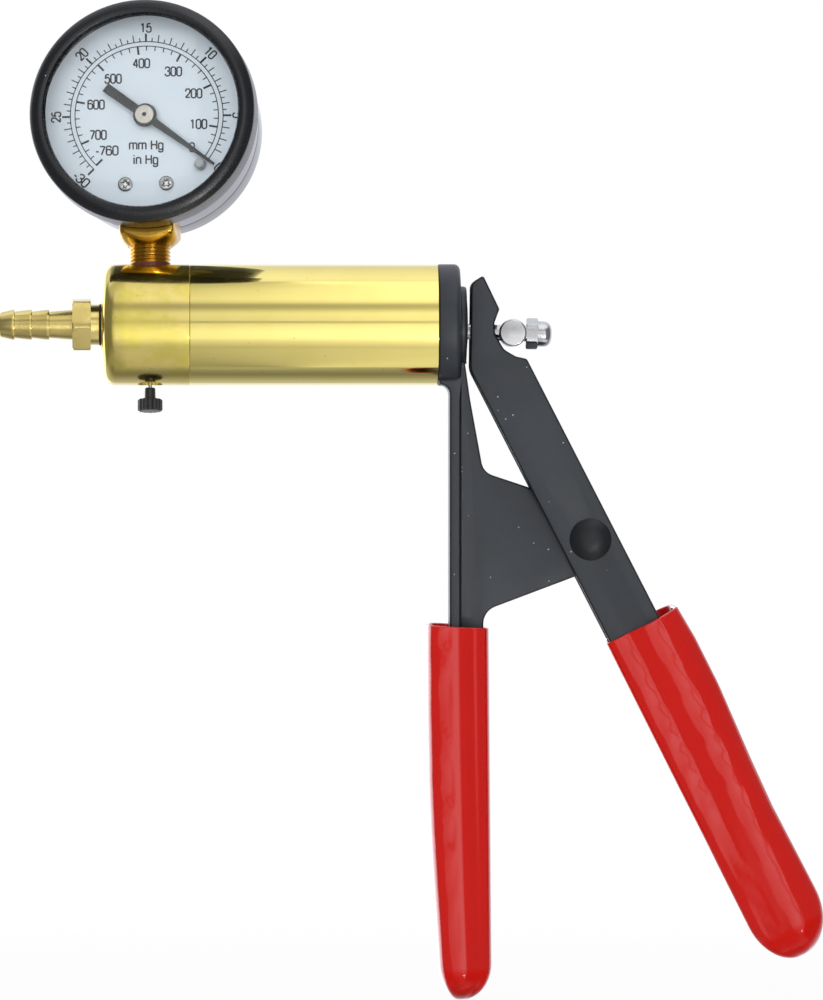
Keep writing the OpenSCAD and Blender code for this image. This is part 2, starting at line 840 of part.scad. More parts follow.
// Two washers between the ear and the lever's cheeks
module pivot_washers() {
  thick = lever_gap_half - ear_w / 2 - 2 * running;
  color("silver")
    for (side = [-1, 1])
      translate([pivot.x, side * (ear_w / 2 + running + thick / 2), pivot.y])
        rotate([90, 0, 0])
          difference() {
            cylinder(r = ear_r, h = thick, center = true);
            cylinder(r = rivet_r + running, h = thick + 1, center = true);
          }
}

// Side view of the lever: hooked head round the cross pin and a straight shank
function lever_outline() =
  let (
    head_top = pin.y + 14.3,
    right_start = (pivot.y - (pin.y - 7.4) + lever_palm_edge * lever_across.y) / lever_along.y * -1
  )
  outline([
    knot([lever_edge_x, pivot.y + (lever_edge_x - pivot.x + lever_finger_edge / lever_across.x)
      * lever_along.y / lever_along.x], 5),
    knot([lever_edge_x + 0.3, head_top - 1.9], 2.2),
    knot([lever_edge_x + 3.3, head_top], 0.6),
    knot(pin + [-3.35, 5.9], 0.9),
    knot(pin + [-4.6, 2.5], 1.5),
    knot(pin + [-4.45, -0.4], 2),
    knot(pin + [-2.2, -4.2], 3),
    knot(pin + [0.7, -5.9], 3),
    knot(on_lever(right_start - 1, lever_palm_edge), 1.1),
    knot(on_lever(lever_end, lever_palm_edge), 4),
    knot(on_lever(lever_end, -lever_finger_edge), 4),
  ]);

// Lever: folded channel with its back on the palm side and two hooked cheeks
module lever() {
  color("dimgray")
    difference() {
      across(lever_w)
        polygon(lever_outline());
      across(2 * lever_gap_half)
        polygon([
          on_lever(-90, lever_palm_edge - lever_t),
          on_lever(lever_end + 20, lever_palm_edge - lever_t),
          on_lever(lever_end + 20, -lever_finger_edge - 60),
          on_lever(-90, -lever_finger_edge - 60),
        ]);
      cross_rod(pivot, rivet_r + running, lever_w + 1);
    }
}

// Places of the lever grip's edges, towards the fingers and towards the palm, at a share s of its length
function lever_grip_finger(s) = lever_finger_edge + lookup(s, [[0, 1.5], [0.6, 1.9], [1, 1.8]]);
function lever_grip_palm(s) =
  lever_palm_edge + lookup(s, [[0, 5.2], [0.1, 5.7], [0.24, 5.6], [0.46, 4.3], [0.6, 3.7], [0.85, 3.9], [1, 3.4]]);

// Ring of the lever's grip at a share s of its length: square towards the fingers, round towards the palm
function lever_ring(s, wall, lip) =
  let (
    shrink = end_round(s, 0.1) * lip,
    low = lever_grip_finger(s),
    high = lever_grip_palm(s),
    middle = (high - low) / 2,
    half = (high + low) / 2 - wall
  )
  [
    for (j = [0:grip_sides - 1])
      let (
        a = 360 * j / grip_sides,
        r = rounded_section(a, half, lever_grip_half_w - wall, cos(a) > 0 ? 3 : 9) * shrink,
        p = on_lever(lever_mouth + lever_grip_len * s, middle + r * cos(a))
      )
      [p.x, r * sin(a), p.y]
  ];

// Lever grip: dipped coating round the lever's shank, open at the mouth on the palm side
module lever_grip() {
  color("firebrick")
    sleeve([
      for (s = inner_steps(lever_grip_len)) lever_ring(s, grip_wall, 1),
      for (s = outer_steps) lever_ring(s, 0, s == 0 ? 0.97 : 1),
    ]);
}

// Piston rod with its head at the piston end and a threaded tail in the nut
module piston_rod() {
  color("silver")
    in_rod()
      union() {
        along_x(-rod_len - rod_head_t / 2, nut_start + nut_hex_len - press, rod_r);
        along_x(-rod_len - rod_head_t / 2, -rod_len + rod_head_t / 2, rod_head_r);
      }
}

// Cross pin that the lever's hooks pull on
module cross_pin() {
  color("silver")
    in_rod()
      difference() {
        cross_rod([0, 0], pin_r, pin_len);
        along_x(-pin_r - 1, pin_r + 1, rod_r + press / 2);
      }
}

// Acorn nut on the rod's end
module acorn_nut() {
  color("silver")
    in_rod()
      difference() {
        union() {
          hex_bar(nut_start, nut_start + nut_hex_len, nut_af, 30);
          along_x(nut_start, nut_start + nut_hex_len + 0.3, nut_dome_r);
          translate([nut_start + nut_hex_len + 0.3, 0, 0])
            intersection() {
              sphere(r = nut_dome_r);
              along_x(-0.1, nut_dome_r + 1, nut_dome_r + 1);
            }
        }
        along_x(nut_start - 1, nut_start + nut_hex_len, rod_r + press / 2);
      }
}

// Piston with the groove for its cup seal and the pocket for the rod's head
module piston() {
  color("whitesmoke")
    difference() {
      turned([
        [piston_x, 0], [piston_x, piston_r - 0.5], [piston_x + 0.5, piston_r],
        [cup_x, piston_r], [cup_x, cup_floor_r], [cup_x + cup_len, cup_floor_r], [cup_x + cup_len, piston_r],
        [piston_back, piston_r], [piston_back, 0],
      ]);
      along_x(pocket_start, piston_back + 1, pocket_r);
      along_x(ring_x - press, ring_x + ring_t + press, ring_r + press);
    }
}

// Cup seal whose lip rubs on the barrel
module cup_seal() {
  heel = 1.3;
  wall = 0.8;
  lip_r = barrel_bore - running;
  x0 = cup_x + press;
  x1 = cup_x + cup_len - 0.2;
  r0 = cup_floor_r + press;
  color("black")
    turned([
      [x0, r0], [x0, piston_r - 0.1], [x0 + heel, piston_r],
      [x1 - 0.6, lip_r], [x1, lip_r - 0.2], [x1, lip_r - wall],
      [x0 + heel, r0 + wall], [x1, r0 + wall], [x1, r0],
    ]);
}

// Plate that keeps the rod's head in the piston
module rod_keeper() {
  color("silver")
    difference() {
      along_x(pocket_end, pocket_end + keeper_t - press, keeper_r);
      along_x(pocket_end - 1, pocket_end + keeper_t + 1, keeper_hole_r);
    }
}

// Split ring that holds the keeper plate
module keeper_ring() {
  color("dimgray")
    difference() {
      along_x(ring_x, ring_x + ring_t, ring_r);
      along_x(ring_x - 1, ring_x + ring_t + 1, pocket_r - 1.2);
      translate([ring_x - 1, -1.5, 0])
        cube([ring_t + 2, 3, ring_r + 1]);
    }
}

// Return spring between the piston and the cap
module return_spring() {
  color("silver")
    translate([piston_back + press, 0, 0])
      rotate([0, 90, 0])
        coil(spring_r, spring_wire_r, spring_seat_x - piston_back - 2 * press, spring_turns);
}

// Stem of the release valve
module release_stem() {
  color("silver")
    in_release()
      translate([0, 0, knob_top - stem_grip])
        union() {
          cylinder(r = valve_stem_r, h = poppet_seat + poppet_t - knob_top + stem_grip + 0.3);
          translate([0, 0, poppet_seat + poppet_t + press - knob_top + stem_grip])
            cylinder(r = valve_stem_r + 0.4, h = 0.4);
        }
}

// Collar on the stem that the release spring pushes down
module release_collar() {
  color("silver")
    in_release()
      translate([0, 0, collar_z])
        difference() {
          cylinder(r = collar_r, h = collar_t);
          translate([0, 0, -1])
            cylinder(r = valve_stem_r + press / 2, h = collar_t + 2);
        }
}

// Ribbed knob pushed with a fingertip
module release_knob() {
  color("black")
    in_release()
      difference() {
        union() {
          translate([0, 0, knob_foot])
            cylinder(r = knob_neck_r, h = knob_neck_len);
          translate([0, 0, knob_foot - knob_h])
            lathe([
              [0, 0], [knob_r - 0.4, 0], [knob_r, 0.4], [knob_r, knob_h - 0.4],
              [knob_r - 0.4, knob_h], [0, knob_h],
            ]);
        }
        for (i = [0:knob_ribs - 1])
          rotate([0, 0, 360 * i / knob_ribs])
            translate([knob_r + 0.15, 0, knob_foot - knob_h - 1])
              cylinder(r = 0.45, h = knob_h + 2, $fn = 16);
        translate([0, 0, knob_top - stem_grip - press])
          cylinder(r = valve_stem_r + press / 2, h = stem_grip + 1);
      }
}

// Rubber poppet that closes the release port
module release_poppet() {
  color("black")
    in_release()
      translate([0, 0, poppet_seat + press])
        difference() {
          cylinder(r = poppet_r, h = poppet_t - press);
          translate([0, 0, -1])
            cylinder(r = valve_stem_r + press / 2, h = poppet_t + 2);
        }
}

// Spring that closes the release valve
module release_spring() {
  color("silver")
    in_release()
      translate([0, 0, collar_z + collar_t + press])
        coil(
          release_spring_r, release_wire_r,
          spring_room_top - collar_z - collar_t - 2 * press, release_turns, 16
        );
}

// Guide bush pressed into the release port
module release_bush() {
  color("darkgoldenrod")
    in_release()
      translate([0, 0, spot_z])
        difference() {
          cylinder(r = spring_room_r - press, h = bush_len);
          translate([0, 0, -1])
            cylinder(r = valve_stem_r + running, h = bush_len + 2);
          translate([1.5, 0, -1])
            cylinder(r = 0.4, h = bush_len + 2);
        }
}

// Gauge socket: square block, pipe thread below it and the tongue that carries the movement
module gauge_socket() {
  root_r = stem_r - stem_groove;
  threads = floor((socket_foot - barrel_r + seal_proud / 2) / stem_pitch);
  thread_z = socket_foot - threads * stem_pitch;
  chamfer_r = socket_half * 1.2;
  color("peru")
    in_stem()
      difference() {
        union() {
          intersection() {
            translate([-socket_half, -socket_half, socket_foot])
              cube([socket_w, socket_w, socket_top - socket_foot]);
            lathe([
              [0, socket_foot], [stem_r + 0.4, socket_foot], [chamfer_r, socket_foot + 2.2],
              [2 * socket_half, socket_foot + 3.2], [2 * socket_half, socket_top], [0, socket_top],
            ]);
          }
          translate([-tongue_half_w, -tongue_half, socket_top - over])
            cube([2 * tongue_half_w, 2 * tongue_half, tongue_top + over]);
          lathe([
            [0, stem_end], [root_r, stem_end],
            each [
              for (i = [0:1:threads - 1])
                let (z = thread_z + i * stem_pitch)
                each [
                  [root_r, z + 0.1 * stem_pitch],
                  [stem_r, z + 0.45 * stem_pitch],
                  [stem_r, z + 0.6 * stem_pitch],
                  [root_r, z + 0.95 * stem_pitch],
                ]
            ],
            [root_r, socket_foot + over], [0, socket_foot + over],
          ]);
        }
        translate([0, 0, stem_end - 1])
          cylinder(r = 1.6, h = gauge_h - tube_r + 1.5 - stem_end);
        translate([0, 0, gauge_h - tube_r + 0.8])
          rotate([0, -90, 0])
            cylinder(r = 1, h = socket_w);
        translate([0, 0, gauge_h])
          rotate([90, 0, 0]) {
            for (side = [-1, 1])
              translate([side * screw_x, -screw_drop, dial_back - 4])
                cylinder(r = screw_r, h = 6, $fn = 24);
            for (side = [-1, 1])
              translate([side * 3, socket_top + 2 - gauge_h, 0])
                cylinder(r = move_screw_r, h = tongue_half + 1, $fn = 24);
          }
      }
}

// Gauge case: cup behind the dial, open below for the socket, with a fine groove round it
module gauge_case() {
  line_z = -case_back + 8.4;
  shoulder = bezel_back - slack;
  color("black")
    in_dial()
      difference() {
        lathe([
          [0, -case_back], [case_r - 1, -case_back], [case_r, -case_back + 1],
          [case_r, line_z - 0.2], [case_r - 0.2, line_z], [case_r, line_z + 0.2],
          if (rim_r < case_r) each [[case_r, shoulder], [rim_r, shoulder]],
          [rim_r, case_front], [case_bore, case_front],
          [case_bore, -case_back + case_wall], [0, -case_back + case_wall],
        ]);
        translate([-socket_half - press, -case_r - 1, -socket_half - press])
          cube([socket_w + 2 * press, case_r / 2, socket_w + 2 * press]);
      }
}

// Bezel: ring that holds the lens on the case
module gauge_bezel() {
  skirt = rim_r + press;
  round_r = 2;
  color("black")
    in_dial()
      lathe([
        [skirt, bezel_back], [bezel_r - 0.6, bezel_back], [bezel_r, bezel_back + 0.6],
        each [
          for (a = [0:15:90])
            [bezel_r - round_r * (1 - cos(a)), bezel_front - round_r * (1 - sin(a))]
        ],
        [open_r + 0.8, bezel_front - 0.25], [open_r, bezel_front - 0.8],
        [open_r, lens_front + press], [skirt, lens_front + press],
      ]);
}

// Clear lens
module lens() {
  color("aliceblue", 0.35)
    in_dial()
      translate([0, 0, lens_back])
        cylinder(r = lens_r, h = lens_t);
}

// Rubber ring between the lens and the case
module lens_gasket() {
  color("black")
    in_dial()
      translate([0, 0, case_front])
        difference() {
          cylinder(r = lens_r, h = gasket_t);
          translate([0, 0, -1])
            cylinder(r = case_bore - 0.6, h = gasket_t + 2);
        }
}

// Dial plate
module dial() {
  color("ghostwhite")
    in_dial()
      translate([0, 0, dial_back])
        difference() {
          cylinder(r = case_bore - 0.15, h = dial_t);
          translate([0, 0, -1])
            cylinder(r = arbor_r + 0.9, h = dial_t + 2);
          for (side = [-1, 1])
            translate([side * screw_x, -screw_drop, -1])
              cylinder(r = screw_r + press, h = dial_t + 2, $fn = 24);
          translate(concat(stop_place(), [-1]))
            cylinder(r = 0.6, h = dial_t + 2, $fn = 24);
        }
}

// Two cross-recessed screws that hold the dial
module dial_screws() {
  recess = [2.2, 0.5, 0.6];
  head_h = 0.8;
  color("silver")
    in_dial()
      for (side = [-1, 1])
        translate([side * screw_x, -screw_drop, dial_face])
          difference() {
            union() {
              lathe([
                [0, 0], [screw_head_r, 0], [screw_head_r, 0.4], [screw_head_r - 0.4, head_h], [0, head_h],
              ]);
              translate([0, 0, -dial_t - 3])
                cylinder(r = screw_r - press, h = dial_t + 3.1, $fn = 24);
            }
            for (turn = [20, 110])
              rotate([0, 0, turn])
                translate([0, 0, head_h])
                  cube(recess, center = true);
          }
}

// Place of the stop pin: just clockwise of the pointer at rest
function stop_place() =
  let (
    reach = 0.855 * pointer_len,
    off = stop_pin_r + pointer_half(reach) + 0.15,
    a = pointer_rest - asin(off / reach)
  )
  reach * [cos(a), sin(a)];

// Half width of the pointer's arm at a distance from its centre
function pointer_half(d) = pointer_half_hub + (pointer_half_tip - pointer_half_hub) * d / pointer_len;

// Pin that stops the pointer at zero
module stop_pin() {
  height = pointer_z + pointer_t - dial_face + 0.3;
  color("silver")
    in_dial()
      translate(concat(stop_place(), [dial_face]))
        union() {
          lathe([
            [0, 0], [stop_pin_r, 0], [stop_pin_r, height - 0.4], [stop_pin_r - 0.4, height], [0, height],
          ]);
          translate([0, 0, -dial_t])
            cylinder(r = 0.55, h = dial_t + 0.1, $fn = 24);
        }
}

// Pointer with its tail
module pointer() {
  ring_r = hub_r + 0.5;
  color("dimgray")
    in_dial()
      translate([0, 0, pointer_z])
        difference() {
          union() {
            cylinder(r = ring_r, h = pointer_t);
            rotate([0, 0, pointer_rest])
              linear_extrude(height = pointer_t)
                polygon([
                  [pointer_len, -pointer_half_tip], [pointer_len, pointer_half_tip],
                  [0, pointer_half_hub], [-pointer_tail, pointer_half_tail],
                  [-pointer_tail, -pointer_half_tail], [0, -pointer_half_hub],
                ]);
          }
          translate([0, 0, -1])
            cylinder(r = arbor_r + press / 2, h = pointer_t + 2);
        }
}

// Bright cap that pins the pointer to its arbor
module pointer_cap() {
  color("silver")
    in_dial()
      translate([0, 0, pointer_z + pointer_t])
        difference() {
          lathe([[0, 0], [hub_r, 0], [hub_r, cap_h - 0.4], [hub_r - 0.4, cap_h], [0, cap_h]]);
          translate([0, 0, -1])
            cylinder(r = arbor_r + press / 2, h = cap_h + 2);
        }
}

// Spur teeth as a flat outline, from tooth first to tooth last of a full circle of count teeth
module teeth(count, first, last, hub) {
  r = count * gear_module / 2;
  tip = r + 0.8 * gear_module;
  root = r - 1.15 * gear_module;
  step = 360 / count;
  half_pitch = 0.21 * step;
  slope = 57.3 * 0.36 * gear_module / r;
  polygon([
    for (i = [first:last])
      let (a = i * step)
      each [
        round_point([0, 0], root, a - half_pitch - slope * 1.15),
        round_point([0, 0], tip, a - half_pitch + slope * 0.8),
        round_point([0, 0], tip, a + half_pitch - slope * 0.8),
        round_point([0, 0], root, a + half_pitch + slope * 1.15),
      ],
    if (last - first < count - 1) each [
      round_point([0, 0], hub, last * step),
      round_point([0, 0], hub, first * step),
    ],
  ]);
}

// Arbor that carries the pinion and the pointer
module pinion_arbor() {
  foot = -tongue_half - plate_t;
  color("peru")
    in_dial()
      union() {
        translate([0, 0, foot])
          cylinder(r = arbor_r, h = pointer_z + pointer_t + cap_h - 0.3 - foot);
        translate([0, 0, -gear_t / 2])
          linear_extrude(height = gear_t)
            teeth(pinion_teeth, 0, pinion_teeth - 1, 0);
      }
}

// Sector gear with its own arbor and the tail that the link moves
module sector_gear() {
  color("peru")
    in_dial()
      translate([sector_x, 0, 0])
        union() {
          translate([0, 0, -gear_t / 2]) {
            linear_extrude(height = gear_t)
              rotate([0, 0, 180 + tooth_deg / 2])
                teeth(sector_teeth, -3, 9, 1.5);
            cylinder(r = 2, h = gear_t);
            translate([0, -1, 0])
              cube([link_tail, 2, gear_t]);
            translate([link_tail, 0, 0])
              cylinder(r = 1, h = gear_t);
          }
          translate([0, 0, -tongue_half - plate_t])
            cylinder(r = arbor_r, h = 2 * tongue_half + 2 * plate_t);
          translate([link_tail, 0, 0])
            cylinder(r = link_pin_r, h = tube_half_w + 1.1, $fn = 24);
        }
}

// Two plates that the arbors turn in
module movement_plates() {
  base = socket_top - gauge_h;
  color("goldenrod")
    in_dial()
      for (z = [-tongue_half - plate_t, tongue_half])
        translate([0, 0, z])
          difference() {
            linear_extrude(height = plate_t)
              polygon(outline([
                knot([-tongue_half_w, base]), knot([tongue_half_w, base]),
                knot([sector_x + plate_past, -plate_half], plate_corner),
                knot([sector_x + plate_past, plate_half], plate_corner),
                knot([plate_peak_x, plate_peak], plate_corner),
                knot([-plate_left, plate_left_top], plate_corner),
                knot([-plate_left, 0], plate_corner),
              ]));
            for (place = [[0, 0], [sector_x, 0]])
              translate(concat(place, [-1]))
                cylinder(r = arbor_r + running, h = plate_t + 2);
            for (side = [-1, 1])
              translate([side * 3, base + 2, -1])
                cylinder(r = move_screw_r + press, h = plate_t + 2, $fn = 24);
          }
}

// Posts between the two plates
module movement_posts() {
  color("goldenrod")
    in_dial()
      for (place = post_places)
        translate(concat(place, [-tongue_half]))
          cylinder(r = post_r, h = 2 * tongue_half);
}

// Screws that hold the movement to the socket's tongue
module movement_screws() {
  head_h = 0.7;
  color("silver")
    in_dial()
      for (side = [-1, 1])
        translate([side * 3, socket_top + 2 - gauge_h, tongue_half + plate_t])
          union() {
            cylinder(r = 1.3, h = head_h, $fn = 24);
            translate([0, 0, -plate_t - tongue_half + over])
              cylinder(r = move_screw_r - press, h = plate_t + tongue_half, $fn = 24);
          }
}

// Flat hairspring wound round the pinion's arbor
module hairspring() {
  turns = 4;
  steps = 80;
  inner = arbor_r + 0.15;
  outer = 4.6;
  thick = 0.15;
  low = gear_t / 2 + 0.9;
  tall = 0.7;
  points = [
    for (i = [0:steps])
      let (
        a = 360 * turns * i / steps,
        r = inner + (outer - inner) * i / steps,
        n = [cos(a), sin(a)]
      )
      each [
        concat(r * n, [low]), concat((r + thick) * n, [low]),
        concat((r + thick) * n, [low + tall]), concat(r * n, [low + tall]),
      ]
  ];
  color("silver")
    in_dial()
      polyhedron(points = points, faces = [for (f = skin(steps + 1, 4)) [f.x, f.z, f.y]], convexity = 10);
}

// Curved pressure tube, soldered to the socket's side and closed at its tip
module pressure_tube() {
  wall = 0.4;
  plug = 4;
  sweep = 225;
  tip = tube_r * [cos(tube_tip - 2), sin(tube_tip - 2)];
  color("peru")
    in_dial()
      difference() {
        union() {
          rotate([0, 0, tube_tip - plug])
            rotate_extrude(angle = sweep + plug)
              translate([tube_r, 0])
                square([2 * tube_half_t, 2 * tube_half_w], center = true);
          translate(concat(tip, [tube_half_w - 1]))
            cylinder(r = link_pin_r, h = 2.1, $fn = 24);
        }
        rotate([0, 0, tube_tip])
          rotate_extrude(angle = sweep + 1)
            translate([tube_r, 0])
              square([2 * (tube_half_t - wall), 2 * (tube_half_w - wall)], center = true);
        translate([-socket_half, -case_r, -socket_half])
          cube([socket_w, case_r, socket_w]);
      }
}

// Slotted link from the tube's tip to the sector's tail
module tube_link() {
  tip = tube_r * [cos(tube_tip - 2), sin(tube_tip - 2)];
  slot_low = -3.4;
  slot_high = 0.9;
  slot_left = tail_x - 1.3;
  slot_right = tail_x + 0.8;
  rim = 0.6;
  color("silver")
    in_dial()
      translate([0, 0, tube_half_w + 0.1])
        linear_extrude(height = 0.6)
          difference() {
            polygon([
              [slot_left - rim, slot_low - rim], [slot_right + rim, slot_low - rim],
              [slot_right + rim, slot_high + rim], tip + [1, 0], tip + [0.6, 1], tip + [-0.6, 1],
              tip + [-1, 0], [slot_left - rim, slot_high + rim],
            ]);
            translate([slot_left, slot_low])
              square([slot_right - slot_left, slot_high - slot_low]);
            translate(tip)
              circle(r = link_pin_r + press, $fn = 24);
          }
}

hose_barb();
barb_seal();
cylinder_head();
head_ring();
inlet_valve();
thread_seal();
barrel();
frame_casting();
fixed_grip();
pivot_rivet();
pivot_washers();
lever();
lever_grip();
piston_rod();
cross_pin();
acorn_nut();
piston();
cup_seal();
rod_keeper();
keeper_ring();
return_spring();
release_stem();
release_knob();
release_poppet();
release_collar();
release_spring();
release_bush();
gauge_socket();
gauge_case();
gauge_bezel();
lens();
lens_gasket();
dial();
dial_screws();
stop_pin();
pointer();
pointer_cap();
pinion_arbor();
sector_gear();
movement_plates();
movement_posts();
movement_screws();
hairspring();
pressure_tube();
tube_link();
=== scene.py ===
"""Looks of a hand vacuum pump with a dial gauge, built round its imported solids.

Sizes in the classes are millimetres in the part's own frame: +X along the barrel, +Z up, -Y towards the
reader of the dial. They become metres when a mesh is made. Colours are linear.
"""

from __future__ import annotations

import json
import logging
import math
from dataclasses import dataclass
from enum import Enum

import bmesh
import bpy
import numpy as np
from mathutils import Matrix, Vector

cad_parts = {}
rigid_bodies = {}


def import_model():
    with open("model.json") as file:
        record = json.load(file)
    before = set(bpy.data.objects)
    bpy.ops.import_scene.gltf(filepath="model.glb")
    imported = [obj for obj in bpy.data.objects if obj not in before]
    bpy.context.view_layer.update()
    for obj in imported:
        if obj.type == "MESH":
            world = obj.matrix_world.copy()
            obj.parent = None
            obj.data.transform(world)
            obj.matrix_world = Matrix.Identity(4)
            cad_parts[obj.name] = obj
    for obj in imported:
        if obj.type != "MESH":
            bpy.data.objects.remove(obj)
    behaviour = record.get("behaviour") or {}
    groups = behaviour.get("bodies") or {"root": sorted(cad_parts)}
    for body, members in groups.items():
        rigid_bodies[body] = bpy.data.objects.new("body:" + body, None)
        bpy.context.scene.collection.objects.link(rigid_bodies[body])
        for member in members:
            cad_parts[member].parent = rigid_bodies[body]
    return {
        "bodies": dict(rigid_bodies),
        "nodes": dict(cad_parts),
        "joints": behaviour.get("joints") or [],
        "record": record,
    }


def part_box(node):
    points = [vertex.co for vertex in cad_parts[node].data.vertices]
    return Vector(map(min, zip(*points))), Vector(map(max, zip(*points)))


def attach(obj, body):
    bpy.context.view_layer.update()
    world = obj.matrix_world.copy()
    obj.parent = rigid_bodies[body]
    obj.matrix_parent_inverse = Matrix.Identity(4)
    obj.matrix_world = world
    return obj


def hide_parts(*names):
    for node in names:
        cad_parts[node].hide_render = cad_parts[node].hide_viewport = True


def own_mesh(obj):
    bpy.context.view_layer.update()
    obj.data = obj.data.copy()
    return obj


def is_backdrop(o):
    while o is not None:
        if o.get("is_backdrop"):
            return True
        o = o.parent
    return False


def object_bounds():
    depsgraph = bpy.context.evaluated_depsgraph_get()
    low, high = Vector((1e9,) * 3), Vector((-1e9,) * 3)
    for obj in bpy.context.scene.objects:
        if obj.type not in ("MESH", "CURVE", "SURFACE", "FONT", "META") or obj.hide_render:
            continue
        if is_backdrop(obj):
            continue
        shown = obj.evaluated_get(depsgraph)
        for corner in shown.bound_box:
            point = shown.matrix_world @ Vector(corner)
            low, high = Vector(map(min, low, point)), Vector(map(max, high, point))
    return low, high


LOG = logging.getLogger("pump")
MM = 0.001
Array = np.ndarray
Triple = tuple[float, float, float]
Colour = Triple
Slopes = tuple[tuple[float, float], ...]
Skin = tuple[Array, Array]
Socket = bpy.types.NodeSocket
Material = bpy.types.Material
Piece = bpy.types.Object
MERGE_M = 1e-7
DEGENERATE_M = 1e-8
SOLID_MERGE_M = 2e-6
FLAT_DEG = 2
SHARP_DEG = 32
BEVEL_SMOOTH_DEG = 30
HEX_CORNER = 0.985


class Body(Enum):
    """The moving bodies that a piece can ride on."""

    FRAME = "frame"
    LEVER = "lever"
    ROD = "rod"
    PISTON = "piston"
    RELEASE = "release"
    POINTER = "pointer"


@dataclass(frozen=True)
class Place:
    """A local frame in the part's frame.

    Args:
        origin: where the local origin lies, in millimetres
        axes: the three local axes as rows of unit vectors
    """

    origin: Array
    axes: Array

    def out(self, points: Array) -> Array:
        """Local points in the part's frame."""
        return self.origin + points @ self.axes


BARREL_LINE = Place(np.zeros(3), np.array([[0.0, 1, 0], [0, 0, 1], [1, 0, 0]]))


def joint_place(frame: dict, name: str) -> tuple[Array, Array]:
    """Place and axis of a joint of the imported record.

    Args:
        frame: what the frame's loading returned
        name: the joint's name

    Returns:
        The joint's place in millimetres (the origin for a slide) and its unit axis.
    """
    joint = next(j for j in frame["joints"] if j["name"] == name)
    return np.array(joint.get("pos_m", [0, 0, 0])) / MM, np.array(joint["axis"], float)


def stem_axes(frame: dict) -> Array:
    """Axes of the release valve's stem: along the barrel, across it and up the stem.

    Args:
        frame: what the frame's loading returned

    Returns:
        The axes as rows.
    """
    _, up = joint_place(frame, "release_push")
    across = np.array([1.0, 0, 0])
    return np.array([across, np.cross(up, across), up])


def smoothstep(low: float, high: float, value: Array) -> Array:
    """Eased step: 0 below low, 1 above high, 3 t^2 - 2 t^3 between them."""
    t = np.clip((value - low) / (high - low), 0, 1)
    return t * t * (3 - 2 * t)


def softened(corners: list[tuple[float, float]], cuts: list[float], steps: int = 6) -> Array:
    """Open polyline whose corners are eased by parabolas.

    Near corner b the line runs along (1 - t)^2 a + 2 t (1 - t) b + t^2 c, where a and c lie one cut before
    and after b on its two edges.

    Args:
        corners: the corners in order
        cuts: how far each corner's easing reaches along its edges
        steps: points in each easing

    Returns:
        The eased line's points.
    """
    b = np.array(corners, float)
    reach = np.array(cuts, float)[:, None]
    back, ahead = np.roll(b, 1, axis=0) - b, np.roll(b, -1, axis=0) - b
    back /= np.linalg.norm(back, axis=1, keepdims=True)
    ahead /= np.linalg.norm(ahead, axis=1, keepdims=True)
    t = np.linspace(0, 1, steps)[None, :, None]
    a, c = (b + back * reach)[:, None], (b + ahead * reach)[:, None]
    line = ((1 - t) ** 2 * a + 2 * t * (1 - t) * b[:, None] + t**2 * c).reshape(-1, 2)
    moved = np.linalg.norm(np.diff(line, axis=0), axis=1) > 1e-6
    return line[np.concatenate([[True], moved])]


def grid_skin(points: Array, wrap_rows: bool = False, wrap_cols: bool = True) -> Skin:
    """Quads over a grid of points.

    Args:
        points: a grid of rows by columns by 3
        wrap_rows: whether the last row joins the first
        wrap_cols: whether the last column joins the first

    Returns:
        The points as one list and the quads as indices into it.
    """
    index = np.arange(points.shape[0] * points.shape[1]).reshape(points.shape[:2])
    if wrap_rows:
        index = np.vstack([index, index[:1]])
    if wrap_cols:
        index = np.hstack([index, index[:, :1]])
    corners = [index[:-1, :-1], index[1:, :-1], index[1:, 1:], index[:-1, 1:]]
    return points.reshape(-1, 3), np.stack(corners, axis=-1).reshape(-1, 4)


def once_round(count: int) -> Array:
    """Even steps once round in radians, the last one short of the first."""
    return np.linspace(0, 2 * math.pi, count, endpoint=False)


def turned(radius: Array, turn: Array, axial: Array, closed: bool = False) -> Skin:
    """Skin about local Z: the point (r cos t, r sin t, z) for each row's z and each column's turn t.

    Args:
        radius: radii of the rows or of every point
        turn: turns of the columns in radians
        axial: places of the rows along the axis
        closed: whether the last row joins the first

    Returns:
        The skin in the local frame.
    """
    points = [radius * np.cos(turn), radius * np.sin(turn), axial + 0 * turn]
    return grid_skin(np.stack(points, axis=-1), wrap_rows=closed)


def lathe(profile: Array, segments: int = 192, closed: bool = False) -> Skin:
    """Surface of revolution about local Z, from points as axial place and radius."""
    return turned(profile[:, 1:], once_round(segments), profile[:, :1], closed)


def soft_least(a: Array, b: Array, power: float) -> Array:
    """The smaller of two radii, eased where they cross: the root of the sum of both to a minus power."""
    return (a**-power + b**-power) ** (-1 / power)


def polygon_radius(turn: Array, sides: int, flats: float, corner: float) -> Array:
    """Radius of a regular polygon with eased corners at each turn.

    It is the flat's distance over the cosine of the angle to the flat's middle, held back near the corners
    by a circle.

    Args:
        turn: angles in radians, a flat's middle at 0
        sides: how many flats
        flats: width across the flats
        corner: radius of the circle that trims the corners

    Returns:
        The radius at each turn.
    """
    step = 2 * math.pi / sides
    off = np.mod(turn + step / 2, step) - step / 2
    return soft_least(flats / 2 / np.cos(off), corner, 24.0)


